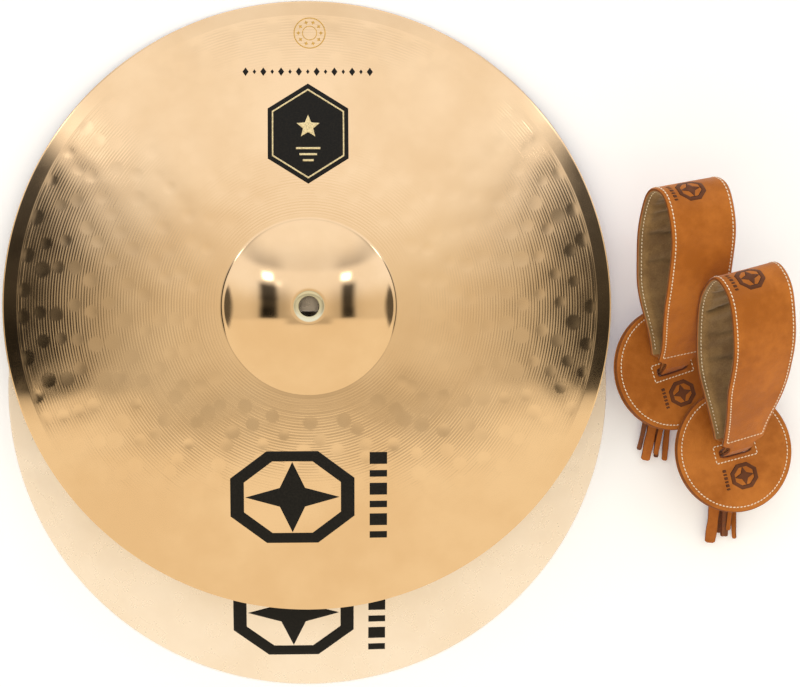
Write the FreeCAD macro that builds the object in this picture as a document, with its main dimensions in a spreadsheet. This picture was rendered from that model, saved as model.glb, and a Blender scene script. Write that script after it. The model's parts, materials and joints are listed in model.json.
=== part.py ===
"""Hand cymbals: two matched bronze marching cymbals and their two leather hand straps.

Everything is drawn in millimetres, +Z up, in the pose in which the set is laid out on a table: the lower
cymbal flat, the upper one resting across its bell, and the straps lying beside them on their pads.
Each strap is a round pad with a slot, a padded hand loop that comes out of the slot, and six thongs,
the slit ends of the loop, that pass through the slot and lie under the pad.
"""
import FreeCAD, Part
import math
import os
import Sketcher
from FreeCAD import Placement, Rotation, Vector

doc = FreeCAD.newDocument("HandCymbals")

# ---------------------------------------------------------------- driving dimensions
SIZES = [
    # cymbals
    ("cymbal_radius", 228.6, "outer radius, an 18 inch cymbal"),
    ("bronze_wall", 1.2, "wall thickness of the hammered bronze"),
    ("bow_radius", 955.0, "radius of the gently curved bow"),
    ("rim_flat", 1.0, "width of the flat ground under the rim"),
    ("bell_radius", 63.25, "radius of the bell at its foot"),
    ("bell_rise", 24.0, "height of the bell above its foot"),
    ("bell_foot_fillet", 6.0, "hollow between bell and bow"),
    ("bore_radius", 7.5, "strap hole"),
    ("dish_radius", 11.25, "dished ring pressed round the hole"),
    ("dish_depth", 0.6, "depth of that ring"),
    ("upper_x", -68.9, "upper cymbal's centre, across"),
    ("upper_y", 29.4, "upper cymbal's centre, along"),
    ("upper_shift", 68.0, "upper cymbal's centre behind the lower one's"),
    ("upper_tilt", 5.08, "tilt of the upper cymbal on the lower bell, degrees"),
    # strap pads
    ("pad_radius", 47.0, "both leather discs"),
    ("face_leather", 2.4, "thickness of the upper disc"),
    ("felt_core", 1.6, "thickness of the felt between the discs"),
    ("back_leather", 2.2, "thickness of the lower disc"),
    ("felt_inset", 1.6, "felt edge inside the leather edge"),
    ("disc_round", 0.9, "burnished round of a disc's edge"),
    ("slot_length", 26.0, "slot for the strap ends"),
    ("slot_width", 6.4, "width of that slot"),
    ("thread", 0.45, "height of the thread above the leather"),
    ("thread_width", 0.8, "width of a row of stitches"),
    ("pad_stitch_inset", 3.8, "edge row inside the pad's edge"),
    ("slot_stitch_length", 34.0, "sewn rectangle round the slot"),
    ("slot_stitch_width", 13.0, "width of that rectangle"),
    # strap loop
    ("strap_leather", 2.4, "thickness of the strap"),
    ("end_width", 20.0, "width of a strap end in the slot"),
    ("end_stand", 0.8, "how far a strap end stands out of the slot"),
    ("end_gap", 0.3, "gap between the two strap ends in the slot"),
    ("loop_length", 154.3, "slot to fold"),
    ("loop_depth", 50.6, "greatest depth of the loop"),
    ("loop_taper", 1.32, "how slowly the loop opens from the slot"),
    ("loop_throat", 2.9, "half of the gap between the legs at the slot"),
    ("loop_start", 5.0, "where the loop's leather begins beyond the slot"),
    ("neck_width", 21.0, "strap width at the slot"),
    ("grip_start", 14.0, "where the padded grip begins"),
    ("grip_start_width", 37.0, "strap width there"),
    ("grip_width", 53.2, "full strap width"),
    ("grip_taper", 62.0, "length over which the grip widens"),
    ("padding", 3.5, "full thickness of the grip padding"),
    ("padding_inset", 6.0, "padding's edge inside the strap's edge"),
    ("lining", 1.0, "thickness of the suede lining"),
    ("lining_inset", 0.8, "lining's edge inside the strap's edge"),
    ("grip_stitch_inset", 2.8, "edge row inside the strap's edge"),
    # thongs
    ("thong_thick", 2.2, "thickness of a thong"),
    ("thong_gap", 0.5, "gap between neighbouring thongs"),
    ("thong_layer", 3.6, "height between the two rows of thongs"),
    ("thong_drop", 30.0, "slope of the thongs down to the table, degrees"),
    ("thong_bend", 8.0, "bend radius of a thong"),
    ("thong_lead", 3.0, "level stretch of a back thong each side of the slot"),
    ("thong_lead_front", 6.0, "how much further a front thong runs level"),
]
# where each strap lies: top of the pad's centre, lean and heading of the pad, turn of its slot,
# then the grip's hinge point, its turn, rise and roll, and the heading of its thongs
STRAPS = {
    "left": [
        ("pad_x", 207.0), ("pad_y", -18.9), ("pad_z", 22.4),
        ("pad_lean", 19.5), ("pad_heading", 26.0), ("slot_turn", 15.5),
        ("grip_x", 208.2), ("grip_y", -19.6), ("grip_z", 25.3),
        ("grip_turn", 0.8), ("grip_rise", 22.6), ("grip_roll", 20.4),
        ("thong_heading", -12.0), ("thong_reach", 74.0), ("thong_top", 11.0),
    ],
    "right": [
        ("pad_x", 254.6), ("pad_y", -81.2), ("pad_z", 29.8),
        ("pad_lean", 15.0), ("pad_heading", 42.0), ("slot_turn", 12.5),
        ("grip_x", 255.8), ("grip_y", -82.0), ("grip_z", 34.0),
        ("grip_turn", 3.2), ("grip_rise", 23.0), ("grip_roll", 21.3),
        ("thong_heading", -5.0), ("thong_reach", 76.0), ("thong_top", 17.0),
    ],
}
# widths of the three thongs cut from each strap end, front end first, and how far each falls short
THONG_WIDTHS = {
    "left": ((5.2, 7.6, 5.2), (6.0, 6.0, 6.0)),
    "right": ((10.6, 4.4, 4.4), (6.0, 6.0, 6.0)),
}
THONG_SHORT = {
    "left": ((7.0, 0.0, 6.0), (9.0, 3.0, 1.0)),
    "right": ((0.0, 6.0, 11.0), (8.0, 5.0, 3.0)),
}
ROW_TURN = {"front": 0.0, "back": 7.0}

sheet = doc.addObject("Spreadsheet::Sheet", "Sizes")
rows = [(name, value) for name, value, note in SIZES]
for strap, places in STRAPS.items():
    rows += [(strap + "_" + name, value) for name, value in places]
for number, (name, value) in enumerate(rows, start=1):
    sheet.set("A%d" % number, name)
    sheet.set("B%d" % number, str(value))
    sheet.setAlias("B%d" % number, name)
doc.recompute()


def size(name):
    """The value of one driving dimension."""
    return float(getattr(sheet, name))


sub_parts = []


def keep(item):
    """Remember a finished sub-part; its Label names its file."""
    sub_parts.append(item)
    return item


# ---------------------------------------------------------------- sketch helpers
def new_body(label):
    body = doc.addObject("PartDesign::Body", label)
    body.Label = label
    return body


def sketch_on(body, name, role):
    """A sketch on one of the body's own origin planes."""
    sketch = body.newObject("Sketcher::SketchObject", name)
    plane = next(item for item in body.Origin.OriginFeatures if item.Role == role)
    sketch.AttachmentSupport = [(plane, "")]
    sketch.MapMode = "FlatFace"
    return sketch


def bind_radius(sketch, edge, radius, formula):
    """Give a round sketch edge a radius that follows the sheet."""
    index = sketch.addConstraint(Sketcher.Constraint("Radius", edge, radius))
    sketch.setExpression("Constraints[%d]" % index, formula)


def circle(sketch, radius, formula):
    edge = sketch.addGeometry(Part.Circle(Vector(0, 0, 0), Vector(0, 0, 1), radius), False)
    sketch.addConstraint(Sketcher.Constraint("Coincident", edge, 3, -1, 1))
    bind_radius(sketch, edge, radius, formula)


def polyline(sketch, points):
    """Closed straight-sided outline."""
    for first, second in zip(points, points[1:] + points[:1]):
        sketch.addGeometry(Part.LineSegment(Vector(*first, 0), Vector(*second, 0)), False)


def round_ended(sketch, length, width):
    """Slot outline, long along X, with round ends."""
    reach = (length - width) / 2
    radius = width / 2
    right = Part.Circle(Vector(reach, 0, 0), Vector(0, 0, 1), radius)
    left = Part.Circle(Vector(-reach, 0, 0), Vector(0, 0, 1), radius)
    sketch.addGeometry(Part.ArcOfCircle(right, -math.pi / 2, math.pi / 2), False)
    sketch.addGeometry(Part.ArcOfCircle(left, math.pi / 2, 3 * math.pi / 2), False)
    sketch.addGeometry(Part.LineSegment(Vector(-reach, radius, 0), Vector(reach, radius, 0)), False)
    sketch.addGeometry(Part.LineSegment(Vector(-reach, -radius, 0), Vector(reach, -radius, 0)), False)


SAME = 0.01


def round_edges(shape, radius, height=None):
    """Names of the round edges of one radius, at one height if that is given."""
    names = []
    for number, edge in enumerate(shape.Edges, start=1):
        if edge.Degenerated or not isinstance(edge.Curve, Part.Circle):
            continue
        same_height = height is None or abs(edge.Curve.Center.z - height) < SAME
        if same_height and abs(edge.Curve.Radius - radius) < SAME:
            names.append("Edge%d" % number)
    return names


def pad_of(body, sketch, formula, name="Pad"):
    feature = body.newObject("PartDesign::Pad", name)
    feature.Profile = sketch
    feature.setExpression("Length", formula)
    sketch.Visibility = False
    return feature


def cut_through(body, sketch, name):
    """Cut the sketch through the whole body, both ways."""
    doc.recompute()
    before = body.Shape.Volume
    feature = body.newObject("PartDesign::Pocket", name)
    feature.Profile = sketch
    feature.Type = 1
    feature.Midplane = True
    doc.recompute()
    if body.Shape.Volume >= before:
        raise RuntimeError(body.Label + ": " + name + " cuts nothing")
    return feature


# ---------------------------------------------------------------- cymbals
def meeting_radius(low_centre, low_radius, high_centre, high_radius):
    """Where two spheres centred on the Z axis cross: radius and height."""
    height = (low_radius ** 2 - high_radius ** 2 + high_centre ** 2 - low_centre ** 2)
    height /= 2 * (high_centre - low_centre)
    return math.sqrt(low_radius ** 2 - (height - low_centre) ** 2), height


def arc_between(sketch, centre, radius, start, end):
    """Arc of a circle centred on the sketch's vertical axis, from start radius to end radius."""
    ring = Part.Circle(Vector(0, centre, 0), Vector(0, 0, 1), radius)
    low = math.acos(max(start, end) / radius)
    high = math.acos(min(start, end) / radius)
    sketch.addGeometry(Part.ArcOfCircle(ring, low, high), False)


def line(sketch, start, end):
    sketch.addGeometry(Part.LineSegment(Vector(*start, 0), Vector(*end, 0)), False)


def build_cymbal(label):
    rim = size("cymbal_radius")
    wall = size("bronze_wall")
    seat = rim - size("rim_flat")
    bow = size("bow_radius")
    bow_centre = -math.sqrt(bow ** 2 - seat ** 2)
    foot = size("bell_radius")
    rise = size("bell_rise")
    bell = (foot ** 2 + rise ** 2) / (2 * rise)
    foot_height = bow_centre + math.sqrt(bow ** 2 - foot ** 2)
    bell_centre = foot_height + rise - bell
    dish = size("dish_radius")
    dish_edge = bell_centre + math.sqrt((bell + wall) ** 2 - dish ** 2)
    dish_floor = dish_edge - size("dish_depth")
    dish_under = bell_centre + math.sqrt(bell ** 2 - dish ** 2)
    dish_ceiling = dish_under - size("dish_depth")
    bore = size("bore_radius")
    inner_foot = meeting_radius(bow_centre, bow, bell_centre, bell)
    outer_foot = meeting_radius(bow_centre, bow + wall, bell_centre, bell + wall)
    rim_top = bow_centre + math.sqrt((bow + wall) ** 2 - rim ** 2)

    body = new_body(label)
    profile = sketch_on(body, label + "_profile", "XZ_Plane")
    line(profile, (0, dish_ceiling), (0, dish_floor))
    line(profile, (0, dish_floor), (bore, dish_floor))
    line(profile, (bore, dish_floor), (dish, dish_edge))
    arc_between(profile, bell_centre, bell + wall, dish, outer_foot[0])
    arc_between(profile, bow_centre, bow + wall, outer_foot[0], rim)
    line(profile, (rim, rim_top), (rim, 0))
    line(profile, (rim, 0), (seat, 0))
    arc_between(profile, bow_centre, bow, inner_foot[0], seat)
    arc_between(profile, bell_centre, bell, dish, inner_foot[0])
    line(profile, (dish, dish_under), (bore, dish_ceiling))
    line(profile, (bore, dish_ceiling), (0, dish_ceiling))
    turned = body.newObject("PartDesign::Revolution", label + "_wall")
    turned.Profile = profile
    turned.ReferenceAxis = (profile, ["V_Axis"])
    turned.Angle = 360
    doc.recompute()

    hollow = body.newObject("PartDesign::Fillet", label + "_foot")
    foot_edges = round_edges(turned.Shape, outer_foot[0]) + round_edges(turned.Shape, inner_foot[0])
    hollow.Base = (turned, foot_edges)
    hollow.setExpression("Radius", "Sizes.bell_foot_fillet")
    doc.recompute()
    hole = sketch_on(body, label + "_hole", "XY_Plane")
    circle(hole, bore, "Sizes.bore_radius")
    body.Tip = cut_through(body, hole, label + "_bore")
    return keep(body)


# ---------------------------------------------------------------- strap pads
def build_disc(label, radius_formula, radius, thick_formula, round_edge):
    """A leather or felt disc with the slot through its middle."""
    body = new_body(label)
    outline = sketch_on(body, label + "_outline", "XY_Plane")
    circle(outline, radius, radius_formula)
    disc = pad_of(body, outline, thick_formula, label + "_disc")
    slot = sketch_on(body, label + "_slot_outline", "XY_Plane")
    round_ended(slot, size("slot_length"), size("slot_width"))
    slotted = cut_through(body, slot, label + "_slot")
    body.Tip = slotted
    if round_edge:
        height = disc.Length.Value if round_edge == "top" else 0.0
        burnish = body.newObject("PartDesign::Fillet", label + "_burnish")
        burnish.Base = (slotted, round_edges(slotted.Shape, radius, height))
        burnish.setExpression("Radius", "Sizes.disc_round")
        body.Tip = burnish
    return keep(body)


def build_ring_thread(label):
    """The row of stitches round the pad, a low ring on the face."""
    body = new_body(label)
    outline = sketch_on(body, label + "_outline", "XY_Plane")
    outer = size("pad_radius") - size("pad_stitch_inset")
    circle(outline, outer, "Sizes.pad_radius - Sizes.pad_stitch_inset")
    circle(outline, outer - size("thread_width"),
           "Sizes.pad_radius - Sizes.pad_stitch_inset - Sizes.thread_width")
    body.Tip = pad_of(body, outline, "Sizes.thread", label + "_row")
    return keep(body)


def build_slot_thread(label):
    """The sewn rectangle round the slot."""
    body = new_body(label)
    outline = sketch_on(body, label + "_outline", "XY_Plane")
    long_half = size("slot_stitch_length") / 2
    wide_half = size("slot_stitch_width") / 2
    for inset in (0.0, size("thread_width")):
        x = long_half - inset
        y = wide_half - inset
        polyline(outline, [(-x, -y), (x, -y), (x, y), (-x, y)])
    body.Tip = pad_of(body, outline, "Sizes.thread", label + "_row")
    return keep(body)


def build_strap_end(label, side):
    """One end of the strap where it passes through the slot, a flat plate."""
    stack = "Sizes.face_leather + Sizes.felt_core + Sizes.back_leather"
    plate = doc.addObject("Part::Box", label)
    plate.Label = label
    plate.setExpression("Length", "Sizes.end_width")
    plate.setExpression("Width", "Sizes.strap_leather")
    plate.setExpression("Height", stack + " + Sizes.end_stand")
    doc.recompute()
    half_gap = size("end_gap") / 2
    y = half_gap if side > 0 else -half_gap - size("strap_leather")
    plate.Placement = Placement(Vector(-size("end_width") / 2, y, 0), Rotation())
    return keep(plate)


# ---------------------------------------------------------------- strap loop
# local frame of a loop: X across the strap, Y from the slot to the fold, Z through the loop
def loop_curve(angle, offset):
    """A point of the loop's outer line, or that far inside it, at angle 0 to 2 pi from the slot."""
    taper = size("loop_taper")
    half = angle / 2
    peak_cos = math.sqrt(1 / (2 + taper))
    peak_sin = math.sqrt(1 - peak_cos ** 2)
    swell = size("loop_depth") / 2 - size("loop_throat") * peak_cos
    swell /= 2 * peak_sin * peak_cos * peak_sin ** taper
    along = size("loop_length") * (1 - math.cos(angle)) / 2
    out = swell * math.sin(angle) * math.sin(half) ** taper + size("loop_throat") * math.cos(half)
    along_rate = size("loop_length") * math.sin(angle) / 2
    out_rate = math.cos(angle) * math.sin(half) ** taper
    out_rate += math.sin(angle) * taper / 2 * math.sin(half) ** (taper - 1) * math.cos(half)
    out_rate = swell * out_rate - size("loop_throat") * math.sin(half) / 2
    rate = math.hypot(along_rate, out_rate)
    return Vector(0, along + offset * out_rate / rate, out - offset * along_rate / rate)


def padding_at(angle):
    """Padding thickness, which fades in from the slot."""
    along = size("loop_length") * (1 - math.cos(angle)) / 2
    return size("padding") * (1 - math.exp(-along / (size("grip_start") + size("padding"))))


LOOP_STEPS = 32


def loop_layer(start, inner, outer, width):
    """A band of the loop between two depths below its outer line, given as functions of the angle."""
    first = math.acos(1 - 2 * start / size("loop_length"))
    span = 2 * (math.pi - first)
    angles = [first + span * step / LOOP_STEPS for step in range(LOOP_STEPS + 1)]
    edges = []
    for depth in (outer, inner):
        curve = Part.BSplineCurve()
        curve.interpolate([loop_curve(angle, depth(angle)) for angle in angles])
        edges.append(curve.toShape())
    for end in (0, -1):
        corners = [loop_curve(angles[end], depth(angles[end])) for depth in (outer, inner)]
        edges.append(Part.makeLine(*corners))
    face = Part.Face(Part.Wire(Part.__sortEdges__(edges)))
    face.translate(Vector(-width / 2, 0, 0))
    return face.extrude(Vector(width, 0, 0))


def grip_half_width(along):
    """Half the strap's width at a distance from the slot."""
    share = min(max((along - size("grip_start")) / size("grip_taper"), 0.0), 1.0)
    ease = share * share * (3 - 2 * share)
    return (size("grip_start_width") + (size("grip_width") - size("grip_start_width")) * ease) / 2


TAPER_STEPS = 8
# how far a cutting block runs past what it cuts, and how far the padding and the stitches start inside
# the grip's own start
CUT_MARGIN = 1.0
SETBACK = 1.0


def plan_prism(inset, start, neck):
    """The strap's outline seen square on, as a tall block: straight round the fold, tapered to the slot."""
    reach = size("loop_length") + size("grip_width")
    taper_end = size("grip_start") + size("grip_taper")
    first = max(start, size("grip_start"))
    stations = [first + (taper_end - first) * step / TAPER_STEPS for step in range(TAPER_STEPS + 1)]
    side = Part.BSplineCurve()
    side.interpolate([Vector(grip_half_width(y) - inset, y, 0) for y in stations])
    edges = [side.toShape()]
    top = grip_half_width(taper_end) - inset
    bottom = grip_half_width(first) - inset
    outline = [Vector(top, taper_end, 0), Vector(top, reach, 0), Vector(-top, reach, 0),
               Vector(-top, taper_end, 0)]
    edges += [Part.makeLine(a, b) for a, b in zip(outline, outline[1:])]
    other = Part.BSplineCurve()
    other.interpolate([Vector(inset - grip_half_width(y), y, 0) for y in reversed(stations)])
    edges.append(other.toShape())
    low = [Vector(-bottom, first, 0)]
    if neck:
        half = size("neck_width") / 2
        shoulder = first - size("grip_start") / 4
        low += [Vector(-half, shoulder, 0), Vector(-half, start - CUT_MARGIN, 0),
                Vector(half, start - CUT_MARGIN, 0), Vector(half, shoulder, 0)]
    low.append(Vector(bottom, first, 0))
    edges += [Part.makeLine(a, b) for a, b in zip(low, low[1:])]
    face = Part.Face(Part.Wire(Part.__sortEdges__(edges)))
    depth = 2 * size("loop_depth")
    face.translate(Vector(0, 0, -depth / 2))
    return face.extrude(Vector(0, 0, depth))


def loop_feature(label, shape):
    item = doc.addObject("Part::Feature", label)
    item.Label = label
    item.Shape = shape.removeSplitter()
    return keep(item)


def build_loop(strap):
    """Leather, padding, lining and edge stitches of one hand loop."""
    leather = size("strap_leather")
    wide = size("grip_width") + 2 * CUT_MARGIN
    start = size("grip_start")
    skin = size("lining")
    band = loop_layer(size("loop_start"), lambda angle: leather, lambda angle: 0.0, wide)
    plan = plan_prism(0.0, size("loop_start"), True)
    pieces = [loop_feature(strap + "_grip_leather", band.common(plan))]
    stuffing = loop_layer(start, lambda angle: leather + padding_at(angle), lambda angle: leather, wide)
    plan = plan_prism(size("padding_inset"), start + SETBACK, False)
    pieces.append(loop_feature(strap + "_grip_padding", stuffing.common(plan)))
    suede = loop_layer(start, lambda angle: leather + padding_at(angle) + skin,
                       lambda angle: leather + padding_at(angle), wide)
    plan = plan_prism(size("lining_inset"), start, False)
    pieces.append(loop_feature(strap + "_grip_lining", suede.common(plan)))
    row = loop_layer(start, lambda angle: 0.0, lambda angle: -size("thread"), wide)
    inset = size("grip_stitch_inset")
    outer = plan_prism(inset, start + SETBACK, False)
    inner = plan_prism(inset + size("thread_width"), start + SETBACK + size("thread_width"), False)
    pieces.append(loop_feature(strap + "_grip_thread", row.common(outer).cut(inner)))
    return pieces


# ---------------------------------------------------------------- thongs
# local frame of a thong: -Y along its run, +Z up, origin under the slot on the table
def build_thong(label, top, rest, lead, reach, width):
    """A flat thong that leaves the slot level, slopes down after its lead and runs along the table."""
    slope = math.radians(size("thong_drop"))
    half = size("thong_thick") / 2
    bend = size("thong_bend")
    root = size("thong_lead")
    corner = bend * math.tan(slope / 2)
    fall = top - rest
    knee = lead + corner
    ankle = knee + fall / math.tan(slope)
    body = new_body(label)
    outline = sketch_on(body, label + "_side", "YZ_Plane")
    toe = ankle + corner

    def arc(centre, radius, start, end):
        ring = Part.Circle(Vector(*centre, 0), Vector(0, 0, 1), radius)
        outline.addGeometry(Part.ArcOfCircle(ring, start, end), False)
        return (centre[0] + radius * math.cos(start), centre[1] + radius * math.sin(start)), \
               (centre[0] + radius * math.cos(end), centre[1] + radius * math.sin(end))

    upper = (-lead, top - bend)
    lower = (-toe, rest + bend)
    knee_out = arc(upper, bend + half, math.pi / 2, math.pi / 2 + slope)
    knee_in = arc(upper, bend - half, math.pi / 2, math.pi / 2 + slope)
    ankle_in = arc(lower, bend - half, 3 * math.pi / 2, 3 * math.pi / 2 + slope)
    ankle_out = arc(lower, bend + half, 3 * math.pi / 2, 3 * math.pi / 2 + slope)
    line(outline, knee_out[0], (root, top + half))
    line(outline, (root, top + half), (root, top - half))
    line(outline, (root, top - half), knee_in[0])
    line(outline, knee_out[1], ankle_in[1])
    line(outline, knee_in[1], ankle_out[1])
    line(outline, ankle_in[0], (-reach, rest + half))
    line(outline, (-reach, rest + half), (-reach, rest - half))
    line(outline, (-reach, rest - half), ankle_out[0])
    strip = body.newObject("PartDesign::Pad", label + "_strip")
    strip.Profile = outline
    strip.Length = width
    strip.Midplane = True
    body.Tip = strip
    return keep(body)


# ---------------------------------------------------------------- the set, laid out
def turned_about(axis, degrees):
    return Rotation(Vector(*axis), degrees)


def lay(item, place):
    """Put a sub-part, drawn in its own frame, where the set has it."""
    item.Placement = place.multiply(item.Placement)


def build_strap(strap):
    def at(name):
        return size(strap + "_" + name)

    thickness = size("face_leather") + size("felt_core") + size("back_leather")
    heading = math.radians(at("pad_heading"))
    lean = turned_about((-math.sin(heading), math.cos(heading), 0), at("pad_lean"))
    pad_turn = lean.multiply(turned_about((0, 0, 1), at("slot_turn")))
    normal = pad_turn.multVec(Vector(0, 0, 1))
    pad_top = Vector(at("pad_x"), at("pad_y"), at("pad_z"))
    pad_base = pad_top - normal * thickness

    def on_pad(height):
        return Placement(pad_base + normal * height, pad_turn)

    radius = size("pad_radius")
    felt = "Sizes.pad_radius - Sizes.felt_inset"
    back = build_disc(strap + "_pad_back", "Sizes.pad_radius", radius, "Sizes.back_leather", "bottom")
    lay(back, on_pad(0))
    core = build_disc(strap + "_pad_felt", felt, radius - size("felt_inset"), "Sizes.felt_core", None)
    lay(core, on_pad(size("back_leather")))
    face = build_disc(strap + "_pad_face", "Sizes.pad_radius", radius, "Sizes.face_leather", "top")
    lay(face, on_pad(size("back_leather") + size("felt_core")))
    lay(build_ring_thread(strap + "_pad_edge_thread"), on_pad(thickness))
    lay(build_slot_thread(strap + "_pad_slot_thread"), on_pad(thickness))
    lay(build_strap_end(strap + "_strap_end_far", 1), on_pad(0))
    lay(build_strap_end(strap + "_strap_end_near", -1), on_pad(0))

    grip_turn = turned_about((0, 0, 1), at("grip_turn"))
    grip_turn = grip_turn.multiply(turned_about((1, 0, 0), at("grip_rise")))
    grip_turn = grip_turn.multiply(turned_about((0, 1, 0), at("grip_roll")))
    hinge_point = Vector(at("grip_x"), at("grip_y"), at("grip_z"))
    for piece in build_loop(strap):
        lay(piece, Placement(hinge_point, grip_turn))

    rest_height = {"back": size("thong_thick") / 2, "front": size("thong_thick") / 2 + size("thong_layer")}
    for row, widths in zip(("front", "back"), THONG_WIDTHS[strap]):
        top = at("thong_top") - (0.0 if row == "front" else size("thong_layer"))
        lead = size("thong_lead") + (size("thong_lead_front") if row == "front" else 0.0)
        place = Placement(Vector(pad_base.x, pad_base.y, 0),
                          turned_about((0, 0, 1), at("thong_heading") + ROW_TURN[row]))
        side = -(sum(widths) + 2 * size("thong_gap")) / 2
        shorts = THONG_SHORT[strap][("front", "back").index(row)]
        for number, (width, short) in enumerate(zip(widths, shorts), start=1):
            label = "%s_%s_thong_%d" % (strap, row, number)
            thong = build_thong(label, top, rest_height[row], lead, at("thong_reach") - short, width)
            lay(thong, place.multiply(Placement(Vector(side + width / 2, 0, 0), Rotation())))
            side += width + size("thong_gap")
    return hinge_point, pad_turn.multVec(Vector(1, 0, 0)), pad_base


lower = build_cymbal("lower_cymbal")
upper = build_cymbal("upper_cymbal")
tilt = math.radians(size("upper_tilt"))
lay(lower, Placement(Vector(size("upper_x"), size("upper_y") - size("upper_shift"), 0), Rotation()))
upper_lift = size("cymbal_radius") * math.sin(tilt)
lay(upper, Placement(Vector(size("upper_x"), size("upper_y"), upper_lift),
                     turned_about((1, 0, 0), -size("upper_tilt"))))
hinges = {strap: build_strap(strap) for strap in STRAPS}
doc.recompute()

# the origin is the middle of the bottom of the whole set's box
box = FreeCAD.BoundBox()
for item in sub_parts:
    box.add(item.Shape.optimalBoundingBox(False, False))
shift = Vector(-(box.XMin + box.XMax) / 2, -(box.YMin + box.YMax) / 2, -box.ZMin)
for item in sub_parts:
    lay_back = Placement(shift, Rotation())
    item.Placement = lay_back.multiply(item.Placement)
doc.recompute()

# ---------------------------------------------------------------- checks, then the files
for item in doc.Objects:
    if "Invalid" in item.State or "Error" in item.State:
        raise RuntimeError("failed object: " + item.Label)
for item in sub_parts:
    if item.Shape.isNull() or not item.Shape.isValid() or not item.Shape.Solids:
        raise RuntimeError("bad shape: " + item.Label)

os.makedirs("parts", exist_ok=True)
for item in sub_parts:
    item.Shape.exportStep("parts/" + item.Label + ".step")
print("sub-parts:", len(sub_parts))
print("size of the set: %.1f x %.1f x %.1f" % (box.XLength, box.YLength, box.ZLength))
for strap, (point, axis, base) in hinges.items():
    point = point + shift
    base = base + shift
    print("%s grip hinge at %.2f %.2f %.2f" % (strap, point.x, point.y, point.z),
          "axis %.4f %.4f %.4f" % (axis.x, axis.y, axis.z),
          "thong pivot %.2f %.2f" % (base.x, base.y))
print("shift %.3f %.3f %.3f" % (shift.x, shift.y, shift.z))
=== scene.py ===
"""Looks of a pair of hand cymbals and their padded leather straps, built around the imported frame."""

import json
import math
import random

import bmesh
import bpy
import numpy as np
from mathutils import Matrix, Vector
from mathutils.bvhtree import BVHTree

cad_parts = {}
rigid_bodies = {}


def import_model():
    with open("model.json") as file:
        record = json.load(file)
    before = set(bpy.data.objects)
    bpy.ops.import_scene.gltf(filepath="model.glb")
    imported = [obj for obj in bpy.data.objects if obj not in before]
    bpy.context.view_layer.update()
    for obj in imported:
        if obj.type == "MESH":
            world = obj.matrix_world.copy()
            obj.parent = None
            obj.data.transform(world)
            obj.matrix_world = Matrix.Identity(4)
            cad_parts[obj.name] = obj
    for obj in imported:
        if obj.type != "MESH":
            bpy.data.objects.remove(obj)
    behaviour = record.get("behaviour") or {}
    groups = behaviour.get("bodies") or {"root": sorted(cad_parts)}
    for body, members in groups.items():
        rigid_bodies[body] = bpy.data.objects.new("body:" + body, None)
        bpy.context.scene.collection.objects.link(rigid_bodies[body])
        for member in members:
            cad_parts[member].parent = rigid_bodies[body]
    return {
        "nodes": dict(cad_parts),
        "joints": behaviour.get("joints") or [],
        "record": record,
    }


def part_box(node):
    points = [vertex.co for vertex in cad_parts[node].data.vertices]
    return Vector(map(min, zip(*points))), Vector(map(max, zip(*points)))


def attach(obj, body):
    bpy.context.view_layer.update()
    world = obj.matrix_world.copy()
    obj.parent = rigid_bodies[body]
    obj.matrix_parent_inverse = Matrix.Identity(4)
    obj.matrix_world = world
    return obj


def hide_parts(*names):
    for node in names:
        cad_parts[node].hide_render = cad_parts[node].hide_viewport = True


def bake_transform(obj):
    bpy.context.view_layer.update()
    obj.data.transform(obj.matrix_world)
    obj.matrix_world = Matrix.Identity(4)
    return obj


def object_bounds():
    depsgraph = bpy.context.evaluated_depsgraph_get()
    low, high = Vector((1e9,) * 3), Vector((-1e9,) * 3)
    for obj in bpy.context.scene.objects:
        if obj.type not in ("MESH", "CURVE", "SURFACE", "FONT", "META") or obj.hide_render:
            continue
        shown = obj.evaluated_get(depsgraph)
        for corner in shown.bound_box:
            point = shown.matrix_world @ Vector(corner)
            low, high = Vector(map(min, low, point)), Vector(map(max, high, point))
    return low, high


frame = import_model()
cad_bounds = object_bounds()
MM = 0.001
JOINTS = {joint["name"]: joint for joint in frame["joints"]}
MOUNTS = {mount["name"]: mount for mount in frame["record"]["mounts"]}

# ---------------------------------------------------------------- sizes
# the cymbal, in its own frame: origin in the rim plane, Z up through the bell
RIM = 228.6 * MM
WALL = 1.2 * MM
SEAT = RIM - 1.0 * MM
BOW = 955 * MM
BELL_RADIUS = 63.25 * MM
BELL_RISE = 24 * MM
FOOT_BLEND = 1.5 * MM
BORE = 7.5 * MM
DISH = 11.25 * MM
DISH_DEPTH = 0.6 * MM
BORE_HEIGHT = 48.76 * MM
BOW_CENTRE = -math.sqrt(BOW ** 2 - SEAT ** 2)
BELL = (BELL_RADIUS ** 2 + BELL_RISE ** 2) / (2 * BELL_RISE)
BELL_CENTRE = BOW_CENTRE + math.sqrt(BOW ** 2 - BELL_RADIUS ** 2) + BELL_RISE - BELL
FOOT_FROM = 58 * MM
LATHE_FROM = 67.5 * MM
LATHE_TO = 217.5 * MM
LATHE_STEP = 0.02 * MM
FINE_FROM = 122 * MM
STEPS = 384
BELL_RINGS, FOOT_RINGS, LATHE_RINGS = 19, 12, 100
HOLLOW_BOW_RINGS, HOLLOW_BELL_RINGS = 14, 8
GROOVE_PITCH = 2.1 * MM
HAMMER_RINGS = 11
HAMMER_FIRST = 84 * MM
HAMMER_GAP = 12.9 * MM
HAMMER_SPACING = 26.5 * MM
DENT_RADIUS = (4.2 * MM, 5.8 * MM)
DENT_DEPTH = (0.02 * MM, 0.06 * MM)
SWELL = 0.12 * MM
MERGE = 1e-7

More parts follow.
